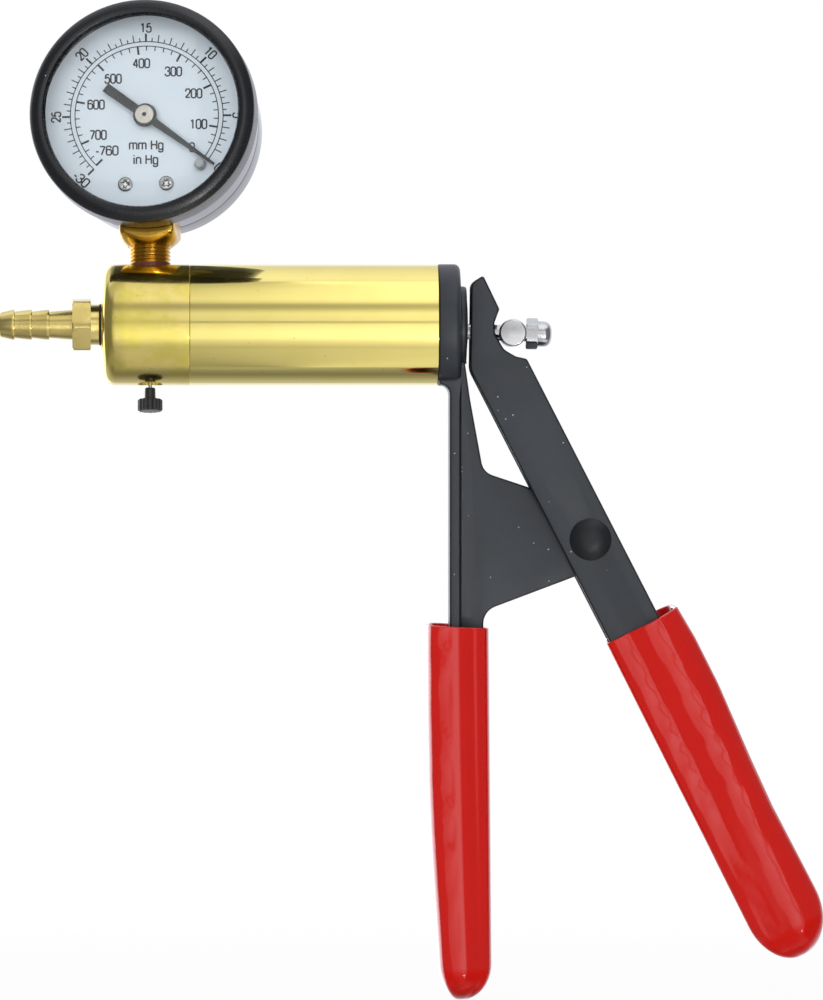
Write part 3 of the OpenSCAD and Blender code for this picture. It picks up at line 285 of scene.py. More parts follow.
def hexagon(
    start: float, length: float, flats: float, cut: tuple[float, float], grid: tuple[int, int],
    hole: float = 0.0, clock: float = 0.0,
) -> Skin:
    """Hexagon with turned ends: the smaller of the polygon's radius and the two chamfer cones.

    Args:
        start: where it starts along the axis
        length: its length
        flats: width across the flats
        cut: rise of the chamfer cones in each millimetre, and how far inside the corners they start
        grid: rows along it and steps round it
        hole: radius that its end faces reach in to
        clock: turn of a flat's middle in degrees

    Returns:
        The skin about local Z.
    """
    corner = flats / 2 / math.cos(math.pi / 6)
    end = start + length
    slope, inset = cut
    z = np.concatenate([[start], np.linspace(start, end, grid[0]), [end]])[:, None]
    turn = once_round(grid[1])
    plain = polygon_radius(turn - math.radians(clock), 6, flats, corner * HEX_CORNER)
    radius = np.minimum(plain, np.minimum(z - start, end - z) * slope + corner - inset)
    radius[[0, -1]] = hole
    return turned(radius, turn, z)


def ripple(along: Array, across: Array, seed: float) -> Array:
    """Soft unevenness of a dipped coating in millimetres.

    It is a sum of three sines with ever shorter waves, whose phases drift along and across the grip.

    Args:
        along: places along the grip
        across: places across it
        seed: shift of the waves

    Returns:
        The height at each place.
    """
    drift = 1.5 * np.sin(along / 9 + seed) + 0.8 * np.sin(across / 2.3 + along / 17)
    long = 0.07 * np.sin(0.42 * along + 0.5 * across + drift)
    middle = 0.024 * np.sin(0.95 * along - 0.8 * across + 2 * seed + 1.4 * drift)
    short = 0.003 * np.sin(2.3 * along + 1.8 * across - 1.7 * drift)
    return long + middle + short


def add_mesh(name: str, skins: list[Skin], place: Place, smooth_deg: float = 35) -> Piece:
    """One object from several closed skins, with doubles merged and faces turned outwards.

    Args:
        name: the object's name
        skins: skins in the local frame
        place: the local frame
        smooth_deg: edges sharper than this stay sharp

    Returns:
        The new object at the origin.
    """
    starts = np.cumsum([0] + [len(points) for points, _ in skins[:-1]])
    points = np.concatenate([points for points, _ in skins])
    faces = np.concatenate([quads + start for (_, quads), start in zip(skins, starts)])
    mesh = bpy.data.meshes.new(name)
    mesh.from_pydata((place.out(points) * MM).tolist(), [], faces.tolist())
    work = bmesh.new()
    work.from_mesh(mesh)
    bmesh.ops.remove_doubles(work, verts=work.verts, dist=MERGE_M)
    bmesh.ops.dissolve_degenerate(work, edges=work.edges, dist=DEGENERATE_M)
    bmesh.ops.recalc_face_normals(work, faces=work.faces)
    work.to_mesh(mesh)
    work.free()
    return finished(name, mesh, smooth_deg)


def finished(name: str, mesh: bpy.types.Mesh, smooth_deg: float) -> Piece:
    """Object with smooth shading between sharp edges, linked to the scene.

    Args:
        name: its name
        mesh: its mesh
        smooth_deg: edges sharper than this stay sharp

    Returns:
        The object.
    """
    mesh.shade_smooth()
    mesh.set_sharp_from_angle(angle=math.radians(smooth_deg))
    piece = bpy.data.objects.new(name, mesh)
    bpy.context.scene.collection.objects.link(piece)
    return piece


def bevelled_copy(name: str, node: Piece, width: float, segments: int = 3) -> Piece:
    """A merged copy of a solid with its sharp edges rounded off and marked in its attribute "edge".

    Args:
        name: the new object's name
        node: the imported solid
        width: reach of the rounding in millimetres
        segments: faces across the rounding

    Returns:
        The new object.
    """
    source = node.data
    source.calc_loop_triangles()
    points = np.empty(len(source.vertices) * 3, np.float32)
    source.vertices.foreach_get("co", points)
    faces = np.empty(len(source.loop_triangles) * 3, np.int32)
    source.loop_triangles.foreach_get("vertices", faces)
    mesh = bpy.data.meshes.new(name)
    mesh.from_pydata(points.reshape(-1, 3).tolist(), [], faces.reshape(-1, 3).tolist())
    work = bmesh.new()
    work.from_mesh(mesh)
    bmesh.ops.remove_doubles(work, verts=work.verts, dist=SOLID_MERGE_M)
    flat = math.radians(FLAT_DEG)
    bmesh.ops.dissolve_limit(work, angle_limit=flat, verts=work.verts, edges=work.edges)
    sharp = [e for e in work.edges if e.is_manifold and e.calc_face_angle(0) > math.radians(SHARP_DEG)]
    bmesh.ops.bevel(
        work, geom=sharp, offset=width * MM, segments=segments, profile=0.5, affect="EDGES",
        clamp_overlap=False, material=1,
    )
    bmesh.ops.triangulate(work, faces=work.faces)
    work.to_mesh(mesh)
    work.free()
    rounded = np.empty(len(mesh.polygons), np.int32)
    mesh.polygons.foreach_get("material_index", rounded)
    mesh.attributes.new("edge", "FLOAT", "FACE").data.foreach_set("value", rounded.astype(np.float32))
    mesh.polygons.foreach_set("material_index", np.zeros_like(rounded))
    return finished(name, mesh, BEVEL_SMOOTH_DEG)


def settle(
    piece: Piece, finish: Material, body: Body, stands_for: tuple[str, ...] = ()
) -> None:
    """Dresses a piece, lets it ride, and reports it.

    Args:
        piece: the piece
        finish: its material
        body: the body that it rides on
        stands_for: the solids that it replaces
    """
    piece.data.materials.clear()
    piece.data.materials.append(finish)
    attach(piece, body.value)
    if stands_for:
        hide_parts(*stands_for)
    LOG.info("piece %s: %d faces, rides on %s", piece.name, len(piece.data.polygons), body.value)


class Graph:
    """A node tree that is being wired up.

    Args:
        tree: the tree to fill
    """

    def __init__(self, tree: bpy.types.NodeTree) -> None:
        """Keeps the tree."""
        self.tree = tree

    def fill(self, node: bpy.types.Node, inputs: dict) -> None:
        """Links or sets a node's inputs.

        Args:
            node: the node
            inputs: socket name or number to a value or to another node's output
        """
        for key, value in inputs.items():
            if isinstance(value, Socket):
                self.tree.links.new(value, node.inputs[key])
            else:
                node.inputs[key].default_value = value

    def add(self, kind: str, inputs: dict | None = None, **settings: object) -> bpy.types.Node:
        """A new node with its settings made and its inputs filled.

        Args:
            kind: the node's type
            inputs: socket name or number to a value or to another node's output
            settings: the node's own settings

        Returns:
            The node.
        """
        node = self.tree.nodes.new(kind)
        for key, value in settings.items():
            setattr(node, key, value)
        self.fill(node, inputs or {})
        return node

    def math(self, operation: str, a: object, b: object = 0.0) -> Socket:
        """Result of a two-value sum."""
        return self.add("ShaderNodeMath", {0: a, 1: b}, operation=operation).outputs[0]

    def vector(self, operation: str, a: object, b: object, out: str = "Value") -> Socket:
        """Result of a sum on two vectors."""
        return self.add("ShaderNodeVectorMath", {0: a, 1: b}, operation=operation).outputs[out]

    def remap(
        self, value: object, low: object, high: object, to_low: float = 0.0, to_high: float = 1.0
    ) -> Socket:
        """Value carried from one range to another with an eased, clamped step."""
        inputs = {"Value": value, "From Min": low, "From Max": high, "To Min": to_low, "To Max": to_high}
        return self.add("ShaderNodeMapRange", inputs, interpolation_type="SMOOTHSTEP").outputs["Result"]

    def mix(self, share: object, a: object, b: object) -> Socket:
        """Colour between a and b."""
        a, b = ((*colour, 1.0) if isinstance(colour, tuple) else colour for colour in (a, b))
        return self.add("ShaderNodeMix", {0: share, 6: a, 7: b}, data_type="RGBA").outputs[2]

    def noise(self, vector: object, scale: object, detail: float, rough: float) -> Socket:
        """Fractal noise from 0 to 1."""
        inputs = {"Vector": vector, "Scale": scale, "Detail": detail, "Roughness": rough}
        return self.add("ShaderNodeTexNoise", inputs).outputs["Fac"]

    def bump(self, height: Socket, strength: float, depth: float) -> Socket:
        """Normal of a surface that a height raises, by a depth in millimetres at 1."""
        inputs = {"Strength": strength, "Distance": depth * MM, "Height": height}
        return self.add("ShaderNodeBump", inputs).outputs[0]

    def place(self, stretch: Triple = (1, 1, 1)) -> Socket:
        """Object coordinates in millimetres, stretched along the three axes."""
        inputs = {"Vector": self.add("ShaderNodeTexCoord").outputs["Object"], "Scale": shade(stretch, 1 / MM)}
        return self.add("ShaderNodeMapping", inputs).outputs[0]

    def group(self, name: str, inputs: dict) -> bpy.types.NodeOutputs:
        """What comes out of an effect group placed in this tree with its own values."""
        return self.add("ShaderNodeGroup", inputs, node_tree=Effects.get(name)).outputs


class Effects:
    """Shader effects that several finishes share, each built once as a node group."""

    BOLD_SCALE = 0.37
    BOLD_CUT = (0.62, 0.74)
    RIM_SCALE = 0.35
    RIM_DEPTH = 1.1
    RIM_CUT = (0.35, 1.0, 1.0, 0.0)

    @staticmethod
    def get(name: str) -> bpy.types.NodeTree:
        """The group of that name, built on first use."""
        return bpy.data.node_groups.get(name) or getattr(Effects, name)()

    @staticmethod
    def begin(name: str, vectors: tuple, values: tuple, outputs: tuple) -> tuple:
        """An empty group with its sockets.

        Args:
            name: the group's name
            vectors: names of the vectors that go in
            values: names of the values that go in
            outputs: names of the values that come out

        Returns:
            The group's graph, what goes in and the node that it comes out at.
        """
        tree = bpy.data.node_groups.new(name, "ShaderNodeTree")
        sockets = [(label, "INPUT", "NodeSocketVector") for label in vectors]
        sockets += [(label, "INPUT", "NodeSocketFloat") for label in values]
        sockets += [(label, "OUTPUT", "NodeSocketFloat") for label in outputs]
        for label, way, kind in sockets:
            tree.interface.new_socket(label, in_out=way, socket_type=kind)
        graph = Graph(tree)
        return graph, graph.add("NodeGroupInput").outputs, graph.add("NodeGroupOutput")

    @staticmethod
    def specks() -> bpy.types.NodeTree:
        """Sparse dots: cells of a random share carry a dot at their middle, its radius given in cells.

        Returns:
            The group.
        """
        g, given, out = Effects.begin("specks", ("Vector",), ("Scale", "Share", "Radius"), ("Mask",))
        inputs = {"Vector": given["Vector"], "Scale": given["Scale"]}
        cells = g.add("ShaderNodeTexVoronoi", inputs).outputs
        dot = g.math("LESS_THAN", cells["Distance"], given["Radius"])
        chance = g.add("ShaderNodeSeparateColor", {0: cells["Color"]}).outputs[0]
        chosen = g.math("LESS_THAN", chance, given["Share"])
        g.fill(out, {"Mask": g.math("MULTIPLY", dot, chosen)})
        return g.tree

    @staticmethod
    def blotches() -> bpy.types.NodeTree:
        """Cloudy patches: noise cut between a low and a high level.

        Returns:
            The group.
        """
        g, given, out = Effects.begin("blotches", ("Vector",), ("Scale", "Low", "High"), ("Mask",))
        cloud = g.noise(given["Vector"], given["Scale"], 4, 0.6)
        g.fill(out, {"Mask": g.remap(cloud, given["Low"], given["High"])})
        return g.tree

    @staticmethod
    def lines() -> bpy.types.NodeTree:
        """Fine machining or drawing lines: noise on a place that was stretched across the lines.

        The fine value holds every line, the bold one only the few deepest.

        Returns:
            The group.
        """
        g, given, out = Effects.begin("lines", ("Vector",), ("Scale",), ("Fine", "Bold"))
        fine = g.noise(given["Vector"], given["Scale"], 5, 0.7)
        sparse = g.noise(given["Vector"], g.math("MULTIPLY", given["Scale"], Effects.BOLD_SCALE), 2, 0.5)
        g.fill(out, {"Fine": fine, "Bold": g.remap(sparse, *Effects.BOLD_CUT)})
        return g.tree

    @staticmethod
    def smudge() -> bpy.types.NodeTree:
        """One soft patch: full at a centre, gone a radius away from it, with a cloudy rim.

        Returns:
            The group.
        """
        g, given, out = Effects.begin("smudge", ("Vector", "Centre"), ("Radius",), ("Mask",))
        share = g.math("DIVIDE", g.vector("DISTANCE", given["Vector"], given["Centre"]), given["Radius"])
        cloud = g.math("SUBTRACT", g.noise(given["Vector"], Effects.RIM_SCALE, 3, 0.6), 0.5)
        ragged = g.math("ADD", share, g.math("MULTIPLY", cloud, Effects.RIM_DEPTH))
        g.fill(out, {"Mask": g.remap(ragged, *Effects.RIM_CUT)})
        return g.tree


def shade(colour: Triple, share: float) -> Triple:
    """Each of three values times a share."""
    return tuple(value * share for value in colour)


def new_material(name: str) -> tuple[Material, Graph, bpy.types.Node]:
    """An empty material.

    Args:
        name: its name

    Returns:
        The material, its graph and its surface shader.
    """
    material = bpy.data.materials.new(name)
    material.use_nodes = True
    graph = Graph(material.node_tree)
    return material, graph, material.node_tree.nodes["Principled BSDF"]


def end_in_mix(g: Graph, share: Socket, surface: bpy.types.Node, other: bpy.types.Node) -> None:
    """Ends a material in a mix of two shaders, the other one by a share."""
    both = g.add("ShaderNodeMixShader", {0: share, 1: surface.outputs[0], 2: other.outputs[0]})
    g.fill(g.tree.nodes["Material Output"], {"Surface": both.outputs[0]})


GRAIN_CUT = (0.3, 0.7)
METAL_PATCHES = {"Scale": 0.12, "Low": 0.42, "High": 0.66}
METAL_PITS = {"Scale": 0.9, "Radius": 0.13}
METAL_BUMP = 0.6
PIT_SHOWS = 0.8
PIT_SHADE = 0.35
PIT_DEPTH = 2.0
LINE_SHOWS = 0.35
LINE_SHADE = 0.9
SKIN_PATCHES = {"Scale": 0.08, "Low": 0.35, "High": 0.7}
SKIN_SPECKS = {"Scale": 0.55, "Radius": 0.1}
SKIN_BUMP = 0.5
# Share of the base colour left on rounded edges, where painted shade darkens them.
EDGE_PAINTED_SHADE = 0.1


@dataclass(frozen=True)
class Metal:
    """A bare or plated metal.

    Args:
        name: the finish's name
        base: its colour
        stain: colour of its cloudy patches
        stained: how strongly the patches show
        smooth: roughness where it is cleanest
        dull: roughness where it is dullest
        stretch: scale of the machining lines along X, Y and Z
        line_depth: height of the lines in millimetres
        pits: share of the surface cells that hold a dark pit
        smudge: middle of a single stain
        smudge_r: reach of that stain
    """

    name: str
    base: Colour
    stain: Colour
    stained: float
    smooth: float
    dull: float
    stretch: Colour
    line_depth: float
    pits: float
    smudge: Colour = (0, 0, 0)
    smudge_r: float = 0.1

    def material(self) -> Material:
        """The metal's material.

        Returns:
            The material.
        """
        material, g, surface = new_material(self.name)
        place = g.place()
        patches = g.group("blotches", {"Vector": place, **METAL_PATCHES})["Mask"]
        pits = g.group("specks", {"Vector": place, "Share": self.pits, **METAL_PITS})["Mask"]
        spot = {"Vector": place, "Centre": self.smudge, "Radius": self.smudge_r}
        patches = g.math("MAXIMUM", patches, g.group("smudge", spot)["Mask"])
        lines = g.group("lines", {"Vector": g.place(self.stretch), "Scale": 1.0})
        colour = g.mix(g.math("MULTIPLY", patches, self.stained), self.base, self.stain)
        colour = g.mix(g.math("MULTIPLY", pits, PIT_SHOWS), colour, shade(self.stain, PIT_SHADE))
        colour = g.mix(g.math("MULTIPLY", lines["Bold"], LINE_SHOWS), colour, shade(self.base, LINE_SHADE))
        rough = g.remap(lines["Fine"], *GRAIN_CUT, self.smooth, (self.smooth + self.dull) / 2)
        rough = g.math("ADD", rough, g.math("MULTIPLY", patches, (self.dull - self.smooth) / 2))
        height = g.math("SUBTRACT", lines["Fine"], g.math("MULTIPLY", pits, PIT_DEPTH))
        normal = g.bump(height, METAL_BUMP, self.line_depth)
        g.fill(surface, {"Metallic": 1.0, "Base Color": colour, "Roughness": rough, "Normal": normal})
        return material


@dataclass(frozen=True)
class Coating:
    """A paint, plastic, rubber or dipped skin.

    Args:
        name: the finish's name
        base: its colour
        tint: colour of its cloudy patches
        smooth: roughness where it is glossiest
        dull: roughness where it is dullest
        grain: scale of its grain in cells per millimetre
        depth: height of the grain in millimetres
        dust: colour of the small specks
        dusty: share of the surface cells that hold a speck
        specular: level of its mirror reflection
        coat: weight of a clear gloss coat
        edge_dark: how much darker the rounded edges are painted, a painted shade for the dark surroundings
            that they mirror
        tip_calm: how much less gloss coat the marked tips have
    """

    name: str
    base: Colour
    tint: Colour
    smooth: float
    dull: float
    grain: float
    depth: float
    dust: Colour
    dusty: float
    specular: float = 0.5
    coat: float = 0.0
    edge_dark: float = 0.0
    tip_calm: float = 0.0

    def material(self) -> Material:
        """The coating's material.

        Returns:
            The material.
        """
        material, g, surface = new_material(self.name)
        place = g.place()
        patches = g.group("blotches", {"Vector": place, **SKIN_PATCHES})["Mask"]
        specks = g.group("specks", {"Vector": place, "Share": self.dusty, **SKIN_SPECKS})["Mask"]
        grain = g.noise(place, self.grain, 4, 0.6)
        colour = g.mix(specks, g.mix(patches, self.base, self.tint), self.dust)
        # Painted shade: the rounded edges get a darker colour for the dark surroundings that they mirror.
        if self.edge_dark:
            edge = g.add("ShaderNodeAttribute", attribute_name="edge").outputs["Fac"]
            colour = g.mix(g.math("MULTIPLY", edge, self.edge_dark), colour, shade(self.base, EDGE_PAINTED_SHADE))
        rough = g.remap(grain, *GRAIN_CUT, self.smooth, self.dull)
        normal = g.bump(grain, SKIN_BUMP, self.depth)
        g.fill(surface, {"Base Color": colour, "Roughness": rough, "Normal": normal})
        gloss = {"Specular IOR Level": self.specular, "Coat Weight": self.coat}
        g.fill(surface, {**gloss, "Coat Roughness": self.smooth / 2})
        if self.tip_calm:
            tip = g.add("ShaderNodeAttribute", attribute_name="tip").outputs["Fac"]
            calmed = g.remap(tip, 0.0, 1.0, self.coat, self.coat * (1 - self.tip_calm))
            g.fill(surface, {"Coat Weight": calmed})
        return material


@dataclass(frozen=True)
class ClearLens:
    """The gauge's clear window.

    Args:
        name: the finish's name
        haze: scale of the faint wipe marks in cells per millimetre
        bends: its index of refraction
        wiped: roughness where the marks are strongest
        clear: its colour between the marks
        marked: its colour on the marks
    """

    name: str
    haze: float
    bends: float = 1.35
    wiped: float = 0.012
    clear: Colour = (0.99, 0.995, 1.0)
    marked: Colour = (0.975, 0.985, 1.0)

    def material(self) -> Material:
        """Clear glass that lets lamps through to the dial.

        Returns:
            The material.
        """
        material, g, surface = new_material(self.name)
        marks = g.noise(g.place(), self.haze, 3, 0.6)
        rough = g.remap(marks, 0.4, 0.8, 0.0, self.wiped)
        tint = g.mix(g.remap(marks, *GRAIN_CUT), self.clear, self.marked)
        glass = {"Transmission Weight": 1.0, "IOR": self.bends}
        g.fill(surface, {**glass, "Roughness": rough, "Base Color": tint})
        shadow = g.add("ShaderNodeLightPath").outputs["Is Shadow Ray"]
        end_in_mix(g, shadow, surface, g.add("ShaderNodeBsdfTransparent"))
        return material


ROUND_X = (18.0, 0.25, 0.25)
ALONG_X = (0.12, 9.0, 9.0)
EVEN = (1.2, 1.2, 1.2)

FINISHES = (
    Metal("barb_brass", (0.84, 0.68, 0.25), (0.56, 0.40, 0.10), 0.35, 0.12, 0.3, ROUND_X, 0.010, 0.08),
    Metal(
        "head_brass", (0.85, 0.69, 0.23), (0.70, 0.60, 0.06), 0.5, 0.10, 0.26, ROUND_X, 0.006, 0.12,
        smudge=(25.2, -14.8, -2.9), smudge_r=5.0,
    ),
    Metal("gold_tube", (0.95, 0.80, 0.265), (0.90, 0.74, 0.21), 0.3, 0.06, 0.13, ALONG_X, 0.0012, 0.03),
    Metal("zinc", (0.66, 0.66, 0.67), (0.46, 0.46, 0.48), 0.5, 0.10, 0.24, EVEN, 0.012, 0.08),
    Metal("hub_nickel", (0.275, 0.262, 0.230), (0.24, 0.23, 0.20), 0.5, 0.28, 0.4, EVEN, 0.004, 0.03),
    Metal("screw_nickel", (0.33, 0.33, 0.325), (0.27, 0.27, 0.27), 0.4, 0.14, 0.24, EVEN, 0.006, 0.03),
    Metal("spring_steel", (0.52, 0.52, 0.53), (0.36, 0.35, 0.34), 0.5, 0.2, 0.4, EVEN, 0.01, 0.02),
    Metal("gauge_brass", (0.64, 0.37, 0.055), (0.50, 0.26, 0.03), 0.5, 0.14, 0.28, EVEN, 0.008, 0.06),
    # The charcoal paint's rounded edges carry painted shade.
    Coating(
        "charcoal_paint", (0.027, 0.032, 0.041), (0.024, 0.028, 0.035), 0.34, 0.48, 2.2, 0.012,
        (0.5, 0.51, 0.53), 0.16, edge_dark=0.8,
    ),
    Coating(
        "rivet_black", (0.009, 0.010, 0.013), (0.011, 0.012, 0.015), 0.36, 0.48, 2.2, 0.010,
        (0.2, 0.2, 0.21), 0.05, specular=0.4,
    ),
    Coating(
        "red_grip", (0.68, 0.006, 0.0015), (0.66, 0.005, 0.001), 0.09, 0.13, 0.35, 0.004,
        (0.62, 0.03, 0.02), 0.004, specular=0.17, coat=1.0, tip_calm=0.85,
    ),
    Coating(
        "black_rubber", (0.012, 0.012, 0.012), (0.02, 0.02, 0.019), 0.5, 0.7, 3, 0.01,
        (0.1, 0.1, 0.1), 0.01,
    ),
    Coating(
        "white_plastic", (0.78, 0.78, 0.75), (0.7, 0.69, 0.65), 0.3, 0.45, 1.5, 0.01,
        (0.4, 0.4, 0.38), 0.005,
    ),
    Coating(
        "knob_black", (0.022, 0.022, 0.023), (0.028, 0.028, 0.029), 0.3, 0.45, 3.5, 0.01,
        (0.2, 0.2, 0.2), 0.05,
    ),
    Coating(
        "gauge_black", (0.012, 0.013, 0.016), (0.016, 0.017, 0.02), 0.06, 0.1, 1.4, 0.001,
        (0.3, 0.3, 0.3), 0.06, specular=1.0, coat=0.3,
    ),
    Coating(
        "bezel_black", (0.006, 0.007, 0.009), (0.008, 0.009, 0.012), 0.24, 0.34, 2.4, 0.004,
        (0.5, 0.5, 0.5), 0.08, specular=0.6,
    ),
    Coating(
        "dial_white", (0.56, 0.635, 0.69), (0.58, 0.65, 0.705), 0.4, 0.55, 2.0, 0.002,
        (0.5, 0.55, 0.6), 0.02,
    ),
    Coating(
        "pointer_grey", (0.018, 0.023, 0.025), (0.021, 0.026, 0.028), 0.4, 0.5, 2.0, 0.003,
        (0.15, 0.15, 0.15), 0.01, specular=0.15,
    ),
    Coating(
        "stop_grey", (0.27, 0.30, 0.305), (0.31, 0.34, 0.345), 0.14, 0.2, 1.5, 0.003,
        (0.6, 0.6, 0.6), 0.02,
    ),
    Coating(
        "seal_brown", (0.11, 0.022, 0.012), (0.2, 0.06, 0.02), 0.25, 0.4, 1.5, 0.01,
        (0.3, 0.15, 0.05), 0.03,
    ),
    Coating(
        "dial_ink", (0.006, 0.008, 0.011), (0.008, 0.010, 0.014), 0.5, 0.6, 3.0, 0.001,
        (0.05, 0.05, 0.06), 0.01, specular=0.1,
    ),
    ClearLens("lens_clear", 0.15),
)


@dataclass(frozen=True)
class Lamp:
    """A soft square lamp that shows in no mirror.

    Args:
        name: its name
        place: where it stands
        side: length of its sides
        power: its power in watts
    """

    name: str
    place: Triple
    side: float
    power: float

    def build(self, aim: Triple) -> None:
        """Adds the lamp to the scene.

        Args:
            aim: the point that it faces
        """
        data = bpy.data.lights.new(self.name, "AREA")
        data.size = self.side * MM
        data.energy = self.power
        lamp = bpy.data.objects.new(self.name, data)
        lamp.location = tuple(c * MM for c in self.place)
        to_object = np.array(aim) - np.array(self.place)
        flat = math.hypot(to_object[0], to_object[1])
        pitch = math.atan2(-to_object[2], flat)
        lamp.rotation_euler = (math.pi / 2 - pitch, 0, math.atan2(-to_object[0], to_object[1]))
        lamp.visible_glossy = False
        bpy.context.scene.collection.objects.link(lamp)


@dataclass(frozen=True)
class Surround:
    """What lies round the object: white to the eye, soft panels with darker gaps between them to mirrors.

    A direction's height above the horizon picks a grey from a front or a back ramp, and its side picks how
    much of the front panel is left. Low at the back left the surround is brighter than white, and one small
    lamp stands low at the front right.

    Each cut is a range of a direction's share, with the range that it is carried to where that isn't 0 to 1.

    Args:
        front: heights in degrees with the front panel's grey
        back: heights in degrees with the back panel's grey
        front_lean: cut to the left that dims the front panel
        back_tint: colour of the back panel
        turn_cut: cut to the back where the back panel takes over
        ahead_cut: cut to the back that ends the front panel
        behind_cut: cut to the back that starts the back panel
        steep_cut: cut of the height above which panels go all round
        side_grey: colour between the panels
        glow: colour of the bright place at the back left
        glow_side: its cut to the left
        glow_height: its cut of the height
        lamp: colour of the small lamp
        lamp_way: direction of the small lamp
        lamp_cut: cut of the nearness to that direction
        room: colour of the light that isn't mirrored
        room_light: strength of that light
    """

    front: Slopes = (
        (-88, 0.58), (-50, 0.65), (-44, 0.6), (-32, 0.94), (-26, 1.25), (-14, 1.28), (-3, 1.05), (1, 0.95),
        (4, 0.42), (7, 0.9), (20, 1.0), (25, 0.8), (31, 0.5), (37, 0.46), (43, 0.92), (49, 1.1), (69, 1.02),
        (80, 0.92), (88, 1.0),
    )
    back: Slopes = (
        (-88, 0.47), (-79, 0.29), (-69, 0.22), (-58, 0.34), (-45, 0.52), (-33, 0.6), (-27, 1.0), (27, 1.0),
        (31, 0.8), (48, 0.87), (60, 0.98), (80, 1.1), (88, 1.03),
    )
    front_lean: tuple[float, ...] = (-0.47, 0.47, 1.4, 0.6)
    back_tint: Colour = (0.96, 0.98, 1.06)
    turn_cut: tuple[float, ...] = (-0.1, 0.1)
    ahead_cut: tuple[float, ...] = (-0.92, -0.84, 1.0, 0.0)
    behind_cut: tuple[float, ...] = (0.3, 0.55)
    steep_cut: tuple[float, ...] = (0.6, 0.9)
    side_grey: Colour = (0.22, 0.22, 0.225)
    glow: Colour = (2.2, 2.2, 2.3)
    glow_side: tuple[float, ...] = (0.08, 0.3)
    glow_height: tuple[float, ...] = (0.3, 0.5, 1.0, 0.0)
    lamp: Colour = (20.0, 20.0, 20.0)
    lamp_way: Triple = (0.272, -0.855, -0.441)
    lamp_cut: tuple[float, ...] = (0.9962, 0.9978)
    room: Colour = (0.98, 0.99, 1.0)
    room_light: float = 0.45

    def build(self) -> None:
        """Makes the world."""
        world = bpy.data.worlds.new("studio")
        world.use_nodes = True
        bpy.context.scene.world = world
        g = Graph(world.node_tree)
        g.tree.nodes.clear()
        panels = self.panels(g, g.add("ShaderNodeTexCoord").outputs["Generated"])
        kinds = (((*self.room, 1), self.room_light), (panels, 1.0), ((1, 1, 1, 1), 1.0))
        room, mirror, white = (
            g.add("ShaderNodeBackground", {"Color": colour, "Strength": strength}).outputs[0]
            for colour, strength in kinds
        )
        paths = g.add("ShaderNodeLightPath").outputs
        seen = g.math("MAXIMUM", paths["Is Camera Ray"], paths["Is Transmission Ray"])
        lit = g.add("ShaderNodeMixShader", {0: paths["Is Glossy Ray"], 1: room, 2: mirror}).outputs[0]
        out = g.add("ShaderNodeMixShader", {0: seen, 1: lit, 2: white}).outputs[0]
        g.add("ShaderNodeOutputWorld", {"Surface": out})

    def panels(self, g: Graph, way: Socket) -> Socket:
        """Colour that a mirror sees.

        Args:
            g: the world's graph
            way: the direction that it looks in

        Returns:
            The colour.
        """
        parts = g.add("ShaderNodeSeparateXYZ", {0: way}).outputs
        flat = g.math("SQRT", g.math("SUBTRACT", 1.0, g.math("MULTIPLY", parts["Z"], parts["Z"])))
        flat = g.math("MAXIMUM", flat, 0.001)
        turn = {0: g.math("ARCTAN2", parts["Z"], flat), 1: 1 / math.pi, 2: 0.5}
        share = g.add("ShaderNodeMath", turn, operation="MULTIPLY_ADD").outputs[0]
        facing = g.math("DIVIDE", parts["Y"], flat)
        leftward = g.math("DIVIDE", g.math("MULTIPLY", parts["X"], -1.0), flat)
        height = g.math("ABSOLUTE", parts["Z"])
        front = {0: self.ramp(g, share, self.front), "Scale": g.remap(leftward, *self.front_lean)}
        front = g.add("ShaderNodeVectorMath", front, operation="SCALE").outputs[0]
        back = g.vector("MULTIPLY", self.ramp(g, share, self.back), self.back_tint, "Vector")
        panels = g.mix(g.remap(facing, *self.turn_cut), front, back)
        behind = g.remap(facing, *self.behind_cut)
        kept = g.math("MAXIMUM", g.remap(facing, *self.ahead_cut), behind)
        kept = g.math("MAXIMUM", kept, g.remap(height, *self.steep_cut))
        panels = g.mix(kept, self.side_grey, panels)
        glow = g.math("MULTIPLY", behind, g.remap(leftward, *self.glow_side))
        glow = g.math("MULTIPLY", glow, g.remap(height, *self.glow_height))
        panels = g.mix(glow, panels, self.glow)
        nearness = g.vector("DOT_PRODUCT", way, self.lamp_way)
        return g.mix(g.remap(nearness, *self.lamp_cut), panels, self.lamp)

    @staticmethod
    def ramp(g: Graph, share: Socket, stops: Slopes) -> Socket:
        """Grey ramp from heights in degrees to brightness.

        Args:
            g: the world's graph
            share: height as a share of the half turn from straight down to straight up
            stops: heights in degrees with their grey

        Returns:
            The ramp's colour.
        """
        node = g.add("ShaderNodeValToRGB", {0: share})
        points = node.color_ramp.elements
        for degrees, grey in stops[1:-1]:
            points.new(degrees / 180 + 0.5).color = (grey, grey, grey, 1)
        for point, (degrees, grey) in ((points[0], stops[0]), (points[-1], stops[-1])):
            point.position = degrees / 180 + 0.5
            point.color = (grey, grey, grey, 1)
        return node.outputs["Color"]


